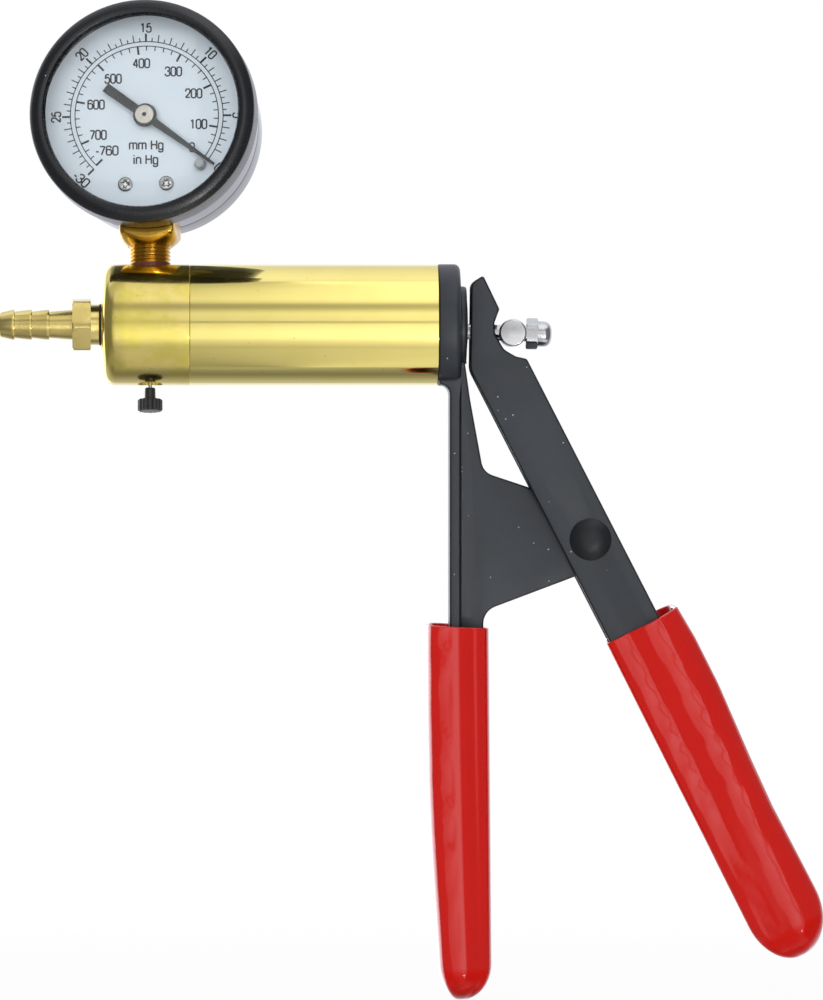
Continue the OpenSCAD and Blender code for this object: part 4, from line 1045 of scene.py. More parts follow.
@dataclass
class Studio:
    """Camera, floor, surround and lamps.

    Args:
        look_x: the picture's middle along the barrel
        look_z: the picture's middle above the barrel axis
        view_height: height that the picture takes in
        distance: from the camera to the picture's middle
        yaw: how far left of square on the camera stands, in degrees
        sensor: width of the camera's sensor
        far_m: how far the camera sees, in metres
        floor_gap: from the lowest point down to the floor
        floor_reach: from the floor's middle to its sides
        floor_white: the floor's two colours
        shadow_cut: distances between which the floor's own shade fades, and its white at both
        aim: the point that the lamps face
        lamps: the lamps
    """

    look_x: float = 95.1
    look_z: float = -43.75
    view_height: float = 250.0
    distance: float = 2000.0
    yaw: float = 1.52
    sensor: float = 36.0
    far_m: float = 100.0
    floor_gap: float = 0.2
    floor_reach: float = 4000.0
    floor_white: tuple[Colour, Colour] = ((0.86, 0.86, 0.86), (0.84, 0.84, 0.85))
    shadow_cut: tuple[float, ...] = (120, 450, 0.93, 1.0)
    aim: Triple = (95.0, 0.0, -40.0)
    lamps: tuple[Lamp, ...] = (
        Lamp("key_lamp", (-200, -1300, 500), 1200, 7.5),
        Lamp("fill_lamp", (500, -1000, -50), 900, 2.0),
        Lamp("back_lamp", (100, 1000, 900), 1000, 8.0),
    )

    def build(self, lowest: float) -> None:
        """Makes the stage.

        Args:
            lowest: the object's lowest point in millimetres
        """
        self.camera()
        self.floor(lowest - self.floor_gap)
        Surround().build()
        for lamp in self.lamps:
            lamp.build(self.aim)

    def camera(self) -> None:
        """Camera on the level of the picture's middle, a little to its left, that looks straight at it."""
        data = bpy.data.cameras.new("camera")
        data.sensor_width = self.sensor
        data.lens = data.sensor_width * self.distance / self.view_height
        data.clip_end = self.far_m
        camera = bpy.data.objects.new("camera", data)
        yaw = math.radians(self.yaw)
        x, y = self.look_x - self.distance * math.sin(yaw), -self.distance * math.cos(yaw)
        camera.location = (x * MM, y * MM, self.look_z * MM)
        camera.rotation_euler = (math.pi / 2, 0, -yaw)
        bpy.context.scene.collection.objects.link(camera)
        bpy.context.scene.camera = camera

    def floor(self, height: float) -> None:
        """Wide pale floor, white to the eye and faintly shaded where the object stands.

        Args:
            height: the floor's height
        """
        side = np.linspace(-self.floor_reach, self.floor_reach, 9)
        x, y = np.meshgrid(side, side, indexing="ij")
        points, quads = grid_skin(np.stack([x, y, 0 * x + height], axis=-1), wrap_cols=False)
        mesh = bpy.data.meshes.new("floor")
        mesh.from_pydata((points * MM).tolist(), [], quads.tolist())
        floor = bpy.data.objects.new("floor", mesh)
        bpy.context.scene.collection.objects.link(floor)
        material, g, surface = new_material("floor_white")
        colour = g.mix(g.noise(g.place(), 0.02, 3, 0.5), *self.floor_white)
        g.fill(surface, {"Roughness": 0.9, "Base Color": colour})
        paths = g.add("ShaderNodeLightPath").outputs
        seen = g.math("MAXIMUM", paths["Is Camera Ray"], paths["Is Transmission Ray"])
        away = g.vector("DISTANCE", g.place((1, 1, 0)), (self.look_x, 0, 0))
        seen = g.math("MAXIMUM", seen, paths["Is Glossy Ray"])
        seen = g.math("MULTIPLY", seen, g.remap(away, *self.shadow_cut))
        end_in_mix(g, seen, surface, g.add("ShaderNodeEmission", {"Strength": 1.0}))
        mesh.materials.append(material)
        floor.visible_glossy = False
        floor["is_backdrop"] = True


@dataclass
class BarrelLine:
    """Hose barb, head and barrel, turned about the barrel axis.

    The fields repeat the solids' sizes: places along the axis and radii.
    """

    tip_x: float = -7.8
    tip_r: float = 3.0
    crest_r: float = 3.75
    foot_r: float = 3.3
    pitch: float = 4.33
    land: float = 0.6
    hex_x: float = 10.45
    hex_len: float = 4.55
    hex_flats: float = 12.5
    hex_turn: float = 96.0
    hex_cut: tuple[float, float] = (1.1, 0.62)
    root_r: float = 3.8
    neck_r: float = 5.05
    neck_end: float = 17.2
    thread_r: float = 4.65
    thread_end: float = 25.6
    bore_r: float = 2.0
    head_x: float = 17.6
    head_end: float = 39.7
    radius: float = 15.1
    head_corner: float = 3.0
    head_dome: float = 0.4
    port_x: float = 29.8
    head_clock: float = 9.0
    seal_r: float = 5.25
    seal_floor: float = 13.9
    spot_r: float = 3.0
    spot_floor: float = 14.1
    barrel_end: float = 101.6
    bore: float = 13.1
    edge: float = 0.15

    def build(self, finishes: dict) -> None:
        """Makes the three pieces.

        Args:
            finishes: the materials by name
        """
        self.barb(finishes["barb_brass"])
        self.head(finishes["head_brass"])
        self.barrel(finishes["gold_tube"])

    def barb(self, finish: Material) -> None:
        """Hose barb: a lathed loop of outer profile and airway, with a hexagon of its own beside it.

        Args:
            finish: its material
        """
        corners = [(self.tip_x, self.bore_r), (self.tip_x, self.tip_r)]
        cuts = [0.25, 0.4]
        for tooth in (-1, 0, 1):
            start = tooth * self.pitch - self.land / 2
            end = start + self.land
            corners += [(start, self.crest_r), (end, self.crest_r), (end, self.foot_r)]
            cuts += [0.18, 0.14, 0.1]
        hex_end = self.hex_x + self.hex_len
        corners += [
            (self.hex_x + 1, self.root_r), (hex_end - 1, self.root_r), (hex_end - 1, self.neck_r),
            (self.neck_end, self.neck_r), (self.neck_end, self.thread_r), (self.thread_end, self.thread_r),
            (self.thread_end, self.bore_r),
        ]
        cuts += [0, 0, 0, 0.2, 0, 0.3, 0]
        body = lathe(softened(corners, cuts), 128, closed=True)
        size = (self.hex_x, self.hex_len, self.hex_flats, self.hex_cut)
        nut = hexagon(*size, (40, 360), self.root_r - 0.3, self.hex_turn)
        piece = add_mesh("barb_body", [body, nut], BARREL_LINE)
        settle(piece, finish, Body.FRAME, ("hose_barb",))

    def head(self, finish: Material) -> None:
        """Pump head: a lathed cap, flat where the gauge's seal and the release valve's spot face are sunk.

        A point less than a sink's radius from the port's axis is lowered to the sink's floor.

        Args:
            finish: its material
        """
        inner = self.neck_r + 1
        outline = softened(
            [
                (self.head_x, self.thread_r), (self.head_x, inner),
                (self.head_x + self.head_dome, self.radius), (self.head_end, self.radius),
                (self.head_end, self.bore),
            ],
            [0, 0, self.head_corner * 1.25, self.edge, 0], 14,
        )
        ends = outline[outline[:, 1] < self.radius - 1e-6]
        front, back = ends[ends[:, 0] < self.port_x], ends[ends[:, 0] > self.port_x]
        reach = self.seal_r + 0.6
        near = np.linspace(self.port_x - reach, self.port_x + reach, 110)
        straight = np.stack([near, 0 * near + self.radius], axis=-1)
        inside = [[self.port_x - 5, self.bore], [self.port_x - 6, self.thread_r]]
        profile = np.concatenate([front, straight, [[self.head_end - self.edge, self.radius]], back, inside])
        half = math.radians(26)
        fine = np.linspace(-half, half, 110)
        coarse = np.linspace(half, math.pi - half, 45)[1:-1]
        turn = np.concatenate([fine, coarse, fine + math.pi, coarse + math.pi])
        turn = turn - math.radians(self.head_clock) + math.pi / 2
        x, r = profile[:, :1] + 0 * turn, profile[:, 1:] + 0 * turn
        clock = math.radians(self.head_clock)
        up = turn + clock - math.pi / 2
        side, rise = r * np.sin(up), r * np.cos(up)
        off = np.hypot(x - self.port_x, side)
        rise = np.where((rise > 0) & (off < self.seal_r), np.minimum(rise, self.seal_floor), rise)
        rise = np.where((rise < 0) & (off < self.spot_r), np.maximum(rise, -self.spot_floor), rise)
        y = -side * math.cos(clock) + rise * math.sin(clock)
        z = side * math.sin(clock) + rise * math.cos(clock)
        skin = grid_skin(np.stack([y, z, x], axis=-1), wrap_rows=True)
        piece = add_mesh("head_cap", [skin], BARREL_LINE, 40)
        settle(piece, finish, Body.FRAME, ("cylinder_head",))

    def barrel(self, finish: Material) -> None:
        """Barrel: a tube whose end edges are broken.

        Args:
            finish: its material
        """
        corners = [
            (self.head_end, self.bore), (self.head_end, self.radius), (self.barrel_end, self.radius),
            (self.barrel_end, self.bore),
        ]
        tube = lathe(softened(corners, [0, self.edge, self.edge, 0]), 256, closed=True)
        settle(add_mesh("barrel_tube", [tube], BARREL_LINE), finish, Body.FRAME, ("barrel",))


@dataclass
class Grips:
    """The two dipped grips.

    Sizes are the solids' own: mouths, lengths and reaches. Each flank's slopes are places from the crest
    outwards with the surface's angle there in degrees. The lever's edges are shares of its length with the
    edge's distance there, and the lip's rows are shares of the wall with their way in.
    """

    mouth_z: float = -75.0
    length: float = 93.7
    crest_x: float = 104.25
    crest_drift: float = 3.4
    palm_x: float = 98.45
    palm_drift: float = 2.9
    finger_x: float = 114.4
    finger_drift: float = 0.8
    end_x: float = 107.3
    half_depth: float = 9.4
    nose: float = 0.1
    blunt: float = 0.85
    mouth_x: float = 106.0
    palm_flank: Slopes = ((0, 0), (2.4, 14), (3.6, 30), (4.3, 50), (4.75, 65), (5.3, 78), (5.8, 88))
    finger_flank: Slopes = (
        (0, 0), (2.4, 14), (4.5, 24), (5.6, 28), (5.95, 13.5), (6.9, 13.5), (7.2, 24), (8.6, 34), (9.4, 55),
        (9.8, 75), (10.15, 88),
    )
    lever_lean: float = 27.2
    lever_mouth: float = 24.4
    lever_length: float = 92.6
    lever_half: float = 9.0
    lever_nose: float = 0.14
    lever_blunt: float = 0.6
    lever_mouth_v: float = 2.0
    lever_end: float = 0.2
    lever_low: Slopes = ((0, 8.3), (0.5, 8.75), (0.9, 9.1), (1, 9.1))
    lever_high: Slopes = (
        (0, 11.7), (0.1, 12.2), (0.24, 12.1), (0.46, 10.8), (0.6, 10.2), (0.85, 10.3), (1, 9.9),
    )
    heel_flank: Slopes = ((0, 0), (1.8, 14), (2.3, 22), (4.5, 30), (6.5, 44), (7.4, 56), (7.8, 70))
    ridge_flank: Slopes = (
        (0, 0), (1.6, 14), (2.0, 20), (6.5, 20), (6.65, -12), (8.5, 0), (10.2, 14), (10.7, 24), (11.7, 40),
        (12.4, 56), (12.6, 62),
    )
    plain_flank: Slopes = (
        (0, 0), (1.8, 14), (2.2, 17), (9.9, 17), (10.7, 26), (11.7, 42), (12.4, 56), (12.6, 62),
    )
    wall: float = 1.0
    wall_middle: float = 0.978
    back_reach: float = 0.955
    back_full: float = 0.25
    back_blend: float = 0.3
    sleeve: float = 18.0
    lip: Slopes = ((1, 0.4), (0.72, 0.06), (0.4, 0), (0.12, 0.08))
    lip_start: float = 0.3
    tip: tuple[float, float] = (0.905, 0.93)
    tip_side: tuple[float, float] = (0.3, 0.6)
    rows: int = 330
    side_points: int = 52

    def build(self, finishes: dict, pivot: Array) -> None:
        """Makes both grips.

        Args:
            finishes: the materials by name
            pivot: the lever's pivot in millimetres
        """
        red = finishes["red_grip"]
        piece = add_mesh("fixed_grip_skin", [self.fixed()], Place(np.zeros(3), np.eye(3)), 60)
        self.mark_tip(piece, np.array([0, 0, self.mouth_z]), np.array([0.0, 0, -1]), self.length)
        settle(piece, red, Body.FRAME, ("fixed_grip",))
        lean = math.radians(self.lever_lean)
        along = np.array([math.sin(lean), 0, -math.cos(lean)])
        across = np.array([math.cos(lean), 0, math.sin(lean)])
        shank = Place(pivot, np.array([along, [0.0, 1, 0], across]))
        piece = add_mesh("lever_grip_skin", [self.lever()], shank, 60)
        self.mark_tip(piece, pivot + along * self.lever_mouth, along, self.lever_length)
        settle(piece, red, Body.LEVER, ("lever_grip",))

    def mark_tip(self, piece: Piece, mouth: Array, along: Array, length: float) -> None:
        """Attribute "tip": 0 along a grip, and 1 on the front and back of its rounded end.

        Args:
            piece: the grip
            mouth: middle of its mouth
            along: direction from the mouth to the end
            length: from the mouth to the end
        """
        count = len(piece.data.vertices)
        points, normals = np.empty((2, count * 3), np.float32)
        piece.data.vertices.foreach_get("co", points)
        piece.data.vertices.foreach_get("normal", normals)
        share = (points.reshape(-1, 3) / MM - mouth) @ along / length
        tip = smoothstep(*self.tip, share) * smoothstep(*self.tip_side, np.abs(normals[1::3]))
        mark = piece.data.attributes.new("tip", "FLOAT", "POINT")
        mark.data.foreach_set("value", tip.astype(np.float32))

    def steps(self) -> Array:
        """Shares of the length, closer together towards the rounded end."""
        t = np.linspace(0, 1, self.rows)
        return (0.5 * t + 0.5 * np.sin(t * math.pi / 2))[:, None]

    @staticmethod
    def end_round(s: Array, nose: float) -> Array:
        """How far a section still reaches at a share s: a quarter ellipse over the length's last nose."""
        t = np.clip((s - 1 + nose) / nose, 0, 1)
        return np.sqrt(np.maximum(0.0, 1 - t * t))

    def flank(self, slopes: Slopes, depth: float) -> Array:
        """Half of a section's front, from the crest out to the edge, one unit wide and one unit deep.

        The depth falls by the running sum of the slope's tangent, and a wall leaning in a little closes it.

        Args:
            slopes: places from the crest with the surface's angle there
            depth: depth at the crest

        Returns:
            Points as shares of the reach and of the depth, closer together on the front than on the wall.
        """
        place, angle = np.array(slopes, float).T
        x = np.linspace(0, place[-1], 600)
        slope = np.tan(np.radians(np.interp(x, place, angle)))
        fall = np.concatenate([[0], np.cumsum((slope[1:] + slope[:-1]) / 2 * np.diff(x))])
        line = np.stack([x / place[-1], np.clip(1 - fall / depth, 0, 1)], axis=1)
        line = np.concatenate([line, [[self.wall_middle, 0.0]]])
        moved = np.diff(line, axis=0)
        run = np.concatenate([[0], np.cumsum(np.hypot(moved[:, 0], 0.4 * moved[:, 1]))])
        even = np.linspace(0, run[-1], self.side_points)
        return np.stack([np.interp(even, run, line[:, 0]), np.interp(even, run, line[:, 1])], axis=1)

    def section(self, plus: Array, minus: Array) -> tuple[Array, Array]:
        """A closed section from two flanks: round the front from plus edge to minus edge, and back behind.

        The back is the same line, a little narrower and fuller. Near the middle of the depth, the side wall's
        lean is carried straight on from front to back.

        Args:
            plus: the flank on the positive side
            minus: the flank on the negative side

        Returns:
            Shares of the reach, signed by side, and shares of the depth, negative in front.
        """
        reach = np.concatenate([plus[::-1, 0], -minus[1:, 0]])
        depth = np.concatenate([plus[::-1, 1], minus[1:, 1]])
        deep, side = depth[-2:0:-1], reach[-2:0:-1]
        carried = np.sign(side) * (2 * self.wall_middle - np.abs(side))
        behind = carried + (side * self.back_reach - carried) * smoothstep(0, self.back_blend, deep)
        back = deep * (1 + self.back_full - self.back_full * deep)
        return np.concatenate([reach, behind])[None], np.concatenate([-depth, back])[None]

    def mouth_rows(self, grid: Array, centre: Array, depth: float, axis: int) -> Array:
        """Grid with a rolled lip and an inside wall added before its first row.

        Args:
            grid: rows of the outside, from the mouth to the end
            centre: middle of the mouth
            depth: how far the inside wall goes in, signed along the axis
            axis: the axis that the grip runs along

        Returns:
            The longer grid.
        """
        first = grid[0]
        flat = first - centre
        flat[:, axis] = 0
        size = np.linalg.norm(flat, axis=1, keepdims=True)
        inward = -flat / size
        shift = np.zeros(3)
        shift[axis] = 1.0
        step = np.sign(depth)
        rows = [first + inward * self.wall + shift * depth]
        rows += [first + inward * self.wall * share + shift * step * way for share, way in self.lip]
        grid = grid.copy()
        grid[0] = grid[0] + shift * step * self.lip_start
        return np.concatenate([np.stack(rows), grid])

    @staticmethod
    def rippled(y: Array, share: Array, height: Array) -> Array:
        """Depths with the coating's unevenness added outwards on front and back, none on the side walls."""
        return y + np.sign(share) * height * smoothstep(0.1, 0.6, np.abs(share))

    def fixed(self) -> Skin:
        """Fixed grip: a crest with two flanks, closed by a rounded end.

        The crest and both edges drift with powers of the share of length. Over the nose, each section is
        drawn in to the end's middle by a quarter ellipse. The mouth is cut slightly askew.

        Returns:
            The skin.
        """
        s = self.steps()
        reach, share = self.section(
            self.flank(self.finger_flank, self.half_depth), self.flank(self.palm_flank, self.half_depth)
        )
        crest = self.crest_x + self.crest_drift * s**1.8
        palm = self.palm_x + self.palm_drift * s**2.2 + 0.7 * smoothstep(0.4, 0.9, s)
        finger = self.finger_x + self.finger_drift * s
        shrink = self.end_round(s, self.nose)
        x = crest + reach * np.where(reach > 0, finger - crest, crest - palm)
        x = self.end_x + (x - self.end_x) * shrink
        along = s * self.length
        calm = (1 - 0.65 * smoothstep(0.45, 0.7, s)) * (1 - smoothstep(-0.4, 1.0, x - crest))
        blunt = self.end_round(s, self.nose * self.blunt)
        uneven = (1.5 * ripple(along, x, 0.4) - 0.1) * calm
        y = self.rippled(share * self.half_depth, share, uneven) * blunt
        askew = (1 - smoothstep(0, 0.15, s)) * (0.03 * y - 0.05 * (x - self.crest_x))
        grid = np.stack([x, y, self.mouth_z - along + askew], axis=-1)
        return self.closed(self.mouth_rows(grid, np.array([self.mouth_x, 0, self.mouth_z]), -self.sleeve, 2))

    def lever(self) -> Skin:
        """Lever grip in the lever's frame: a heel and a lower ridge that meet in a crease.

        Towards the end the ridge's flank gives way to a plain round one, the crest drifts to the middle, and
        the section is drawn in by a quarter ellipse. The mouth is cut higher behind than in front.

        Returns:
            The skin.
        """
        s = self.steps()
        heel = self.flank(self.heel_flank, self.lever_half)
        ridged = self.section(heel, self.flank(self.ridge_flank, self.lever_half))
        plain = self.section(heel, self.flank(self.plain_flank, self.lever_half))
        even = smoothstep(0.42, 0.74, s)
        reach, share = (a + (b - a) * even for a, b in zip(ridged, plain))
        low = np.interp(s, *np.array(self.lever_low).T)
        high = np.interp(s, *np.array(self.lever_high).T)
        crest = 4.2 - 1.7 * smoothstep(0.4, 0.85, s)
        shrink = self.end_round(s, self.lever_nose)
        v = crest + reach * np.where(reach > 0, high - crest, crest + low)
        v = self.lever_end + (v - self.lever_end) * shrink
        along = s * self.lever_length
        stripe = 1 - smoothstep(1.3, 2.6, np.minimum(np.abs(v - crest), np.abs(v + 4.2)))
        calm = stripe * (1 - 0.6 * smoothstep(0.55, 0.8, s))
        blunt = self.end_round(s, self.lever_nose * self.lever_blunt)
        uneven = (ripple(along, v, 2.2) - 0.06) * calm
        y = self.rippled(share * self.lever_half, share, uneven) * blunt
        askew = -0.085 * y * (1 - smoothstep(0, 0.15, s))
        grid = np.stack([self.lever_mouth + along + askew, y, v], axis=-1)
        centre = np.array([self.lever_mouth, 0.0, self.lever_mouth_v])
        return self.closed(self.mouth_rows(grid, centre, self.sleeve, 0))

    @staticmethod
    def closed(grid: Array) -> Skin:
        """Skin whose inside ends in a flat plug, so that it is a closed surface.

        Args:
            grid: rows from the inside to the end

        Returns:
            The skin.
        """
        middle = grid[0].mean(axis=0)
        plug = np.broadcast_to(middle, grid[0].shape)
        end = np.broadcast_to(grid[-1].mean(axis=0), grid[-1].shape)
        return grid_skin(np.concatenate([plug[None], grid, end[None]]))


@dataclass
class Linkage:
    """Frame casting, lever, pivot rivet, cross pin and acorn nut."""

    edge: float = 0.45
    rivet_r: float = 5.25
    rivet_h: float = 1.9
    rivet_face: float = 6.05
    rivet_crown: float = 2.6
    shank_r: float = 2.4
    pin_r: float = 3.4
    pin_half: float = 7.0
    pin_chamfer: float = 0.35
    droop: float = 1.7045
    nut_start: float = 3.45
    nut_len: float = 2.95
    nut_flats: float = 7.0
    nut_cut: tuple[float, float] = (1.3, 0.45)
    dome_r: float = 3.2

    def build(self, finishes: dict, frame: dict, pivot: Array, pin: Array) -> None:
        """Makes the pieces.

        Args:
            finishes: the materials by name
            frame: what the frame's loading returned
            pivot: the lever's pivot
            pin: the cross pin's middle
        """
        paint = finishes["charcoal_paint"]
        nodes = frame["nodes"]
        casting = bevelled_copy("frame_body", nodes["frame_casting"], self.edge)
        settle(casting, paint, Body.FRAME, ("frame_casting",))
        lever = bevelled_copy("lever_channel", nodes["lever"], self.edge)
        settle(lever, paint, Body.LEVER, ("lever",))
        settle(self.rivet(pivot), finishes["rivet_black"], Body.FRAME, ("pivot_rivet",))
        lean = math.radians(self.droop)
        along = np.array([math.cos(lean), 0, -math.sin(lean)])
        up = np.array([math.sin(lean), 0, math.cos(lean)])
        depth = np.array([0.0, 1, 0])
        pin_place = Place(pin, np.array([along, up, -depth]))
        piece = add_mesh("pin_body", [self.pin()], pin_place, 25)
        settle(piece, finishes["zinc"], Body.ROD, ("cross_pin",))
        nut_place = Place(pin, np.array([-depth, up, along]))
        piece = add_mesh("nut_body", self.nut(), nut_place, 25)
        settle(piece, finishes["zinc"], Body.ROD, ("acorn_nut",))

    def rivet(self, pivot: Array) -> Piece:
        """Rivet: a lathed line of dome, shank and dome across the tool.

        Args:
            pivot: the lever's pivot

        Returns:
            The rivet.
        """
        t = np.linspace(0, 1, 24)
        height = self.rivet_face + self.rivet_h * (1 - t**self.rivet_crown)
        dome = np.stack([height, self.rivet_r * t], axis=-1)
        rim = np.array([[self.rivet_face + 0.02, self.rivet_r], [self.rivet_face, self.rivet_r - 0.25]])
        half = np.concatenate([dome, rim, [[self.rivet_face, self.shank_r]]])
        profile = np.concatenate([half, half[::-1] * np.array([-1, 1])])
        place = Place(pivot, np.array([[1.0, 0, 0], [0, 0, 1], [0, -1, 0]]))
        return add_mesh("rivet_body", [lathe(profile, 128)], place, 40)

    def pin(self) -> Skin:
        """Cross pin: a lathed bar with chamfered ends.

        Returns:
            The skin.
        """
        end, c = self.pin_half, self.pin_chamfer
        corners = [(-end, 0), (-end, self.pin_r - c), (c - end, self.pin_r), (end - c, self.pin_r)]
        corners += [(end, self.pin_r - c), (end, 0)]
        return lathe(softened(corners, [0, 0.1, 0.1, 0.1, 0.1, 0], 4), 128)

    def nut(self) -> list[Skin]:
        """Acorn nut: a hexagon with turned ends and a short barrel that closes in a dome.

        Returns:
            The two skins.
        """
        end = self.nut_start + self.nut_len
        six = hexagon(self.nut_start, self.nut_len, self.nut_flats, self.nut_cut, (30, 240))
        top = end + 0.3 + self.dome_r
        corners = [(end - 0.3, 0), (end - 0.3, self.dome_r), (top, self.dome_r), (top, 0)]
        return [six, lathe(softened(corners, [0, 0, self.dome_r * 0.75, 0], 20), 96)]


@dataclass
class ReleaseKnob:
    """Ribbed knob of the release valve, in the frame of its stem."""

    top: float = -16.0
    neck_r: float = 1.3
    neck_len: float = 2.9
    radius: float = 3.1
    height: float = 3.0
    ribs: int = 12
    rib: float = 0.2

    def build(self, finishes: dict, frame: dict, port_x: float) -> None:
        """Makes the knob.

        Args:
            finishes: the materials by name
            frame: what the frame's loading returned
            port_x: the stem's place along the barrel
        """
        place = Place(np.array([port_x, 0, 0]), stem_axes(frame))
        piece = add_mesh("knob_body", [self.skin()], place, 45)
        settle(piece, finishes["knob_black"], Body.RELEASE, ("release_knob",))

    def skin(self) -> Skin:
        """Neck and head as one lathed line, the head's radius waved by the ribs round it.

        Returns:
            The skin.
        """
        foot = self.top - self.neck_len
        low = foot - self.height
        corners = [
            (self.top, 0), (self.top, self.neck_r), (foot, self.neck_r + 0.08), (foot, self.radius),
            (low, self.radius), (low, 0),
        ]
        line = softened(corners, [0, 0.35, 0.3, 0.45, 0.6, 0], 8)
        turn = once_round(288)
        z, r = line[:, :1], line[:, 1:]
        share = smoothstep(self.neck_r + 0.5, self.radius - 0.3, r) * (z < foot + 0.01)
        wave = np.abs(np.cos(turn * self.ribs / 2)) ** 0.7 - 1
        r = r + self.rib * 1.6 * share * wave
        return turned(r, turn, z)


@dataclass
class Springs:
    """Return spring round the rod and the release valve's spring."""

    return_turns: float = 6.0
    return_r: float = 11.0
    return_wire: float = 0.65
    release_turns: float = 4.0
    release_r: float = 1.5
    release_wire: float = 0.2

    def build(self, finishes: dict, frame: dict, port_x: float) -> None:
        """Makes both springs.

        Args:
            finishes: the materials by name
            frame: what the frame's loading returned
            port_x: the release stem's place along the barrel
        """
        steel = finishes["spring_steel"]
        low, high = (np.array(corner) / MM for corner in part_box("return_spring"))
        length = float(high[0] - low[0])
        start = Place(np.array([low[0], 0, 0]), BARREL_LINE.axes)
        skin = self.coil(self.return_r, self.return_wire, length, self.return_turns)
        piece = add_mesh("return_coil", [skin], start, 60)
        settle(piece, steel, Body.PISTON, ("return_spring",))
        self.shorten(piece, frame, "piston_slide", start.origin, length)
        axes = stem_axes(frame)
        up = axes[2]
        low, high = (np.array(corner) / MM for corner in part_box("release_spring"))
        lean = 2 * (self.release_r + self.release_wire) * abs(up[1])
        length = float((high[2] - low[2] - lean) / up[2])
        foot = (low + high) / 2 - up * length / 2
        place = Place(np.array([port_x, foot[1], foot[2]]), axes)
        skin = self.coil(self.release_r, self.release_wire, length, self.release_turns)
        piece = add_mesh("release_coil", [skin], place, 60)
        settle(piece, steel, Body.RELEASE, ("release_spring",))
        self.shorten(piece, frame, "release_push", place.origin, length)

    @staticmethod
    def shorten(piece: Piece, frame: dict, joint: str, foot: Array, length: float) -> None:
        """Gives a spring a mesh of its own; it does not flatten as its joint moves.

        Args:
            piece: the spring
            frame: what the frame's loading returned, not used
            joint: the joint's name, not used
            foot: the spring's moving end, not used
            length: its length at rest, not used
        """
        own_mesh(piece)

    @staticmethod
    def coil(radius: float, wire: float, length: float, turns: float) -> Skin:
        """Spring along local Z: a circle of the wire's size carried along a helix, both ends closed.

        Args:
            radius: from the axis to the middle of the wire
            wire: the wire's radius
            length: over both ends
            turns: number of turns

        Returns:
            The skin.
        """
        t = np.linspace(0, 1, int(turns * 40) + 1)[:, None]
        turn = 2 * math.pi * turns * t
        rise = length - 2 * wire
        lean = math.atan2(rise, 2 * math.pi * turns * radius)
        a = once_round(12)
        out, up = radius + wire * np.cos(a), wire * np.sin(a)
        x = out * np.cos(turn) + up * math.sin(lean) * np.sin(turn)
        y = out * np.sin(turn) - up * math.sin(lean) * np.cos(turn)
        z = wire + rise * t + up * math.cos(lean)
        grid = np.stack([x, y, z], axis=-1)
        ends = np.broadcast_to(grid[[0, -1]].mean(axis=1, keepdims=True), (2, 12, 3))
        return grid_skin(np.concatenate([ends[:1], grid, ends[1:]]))


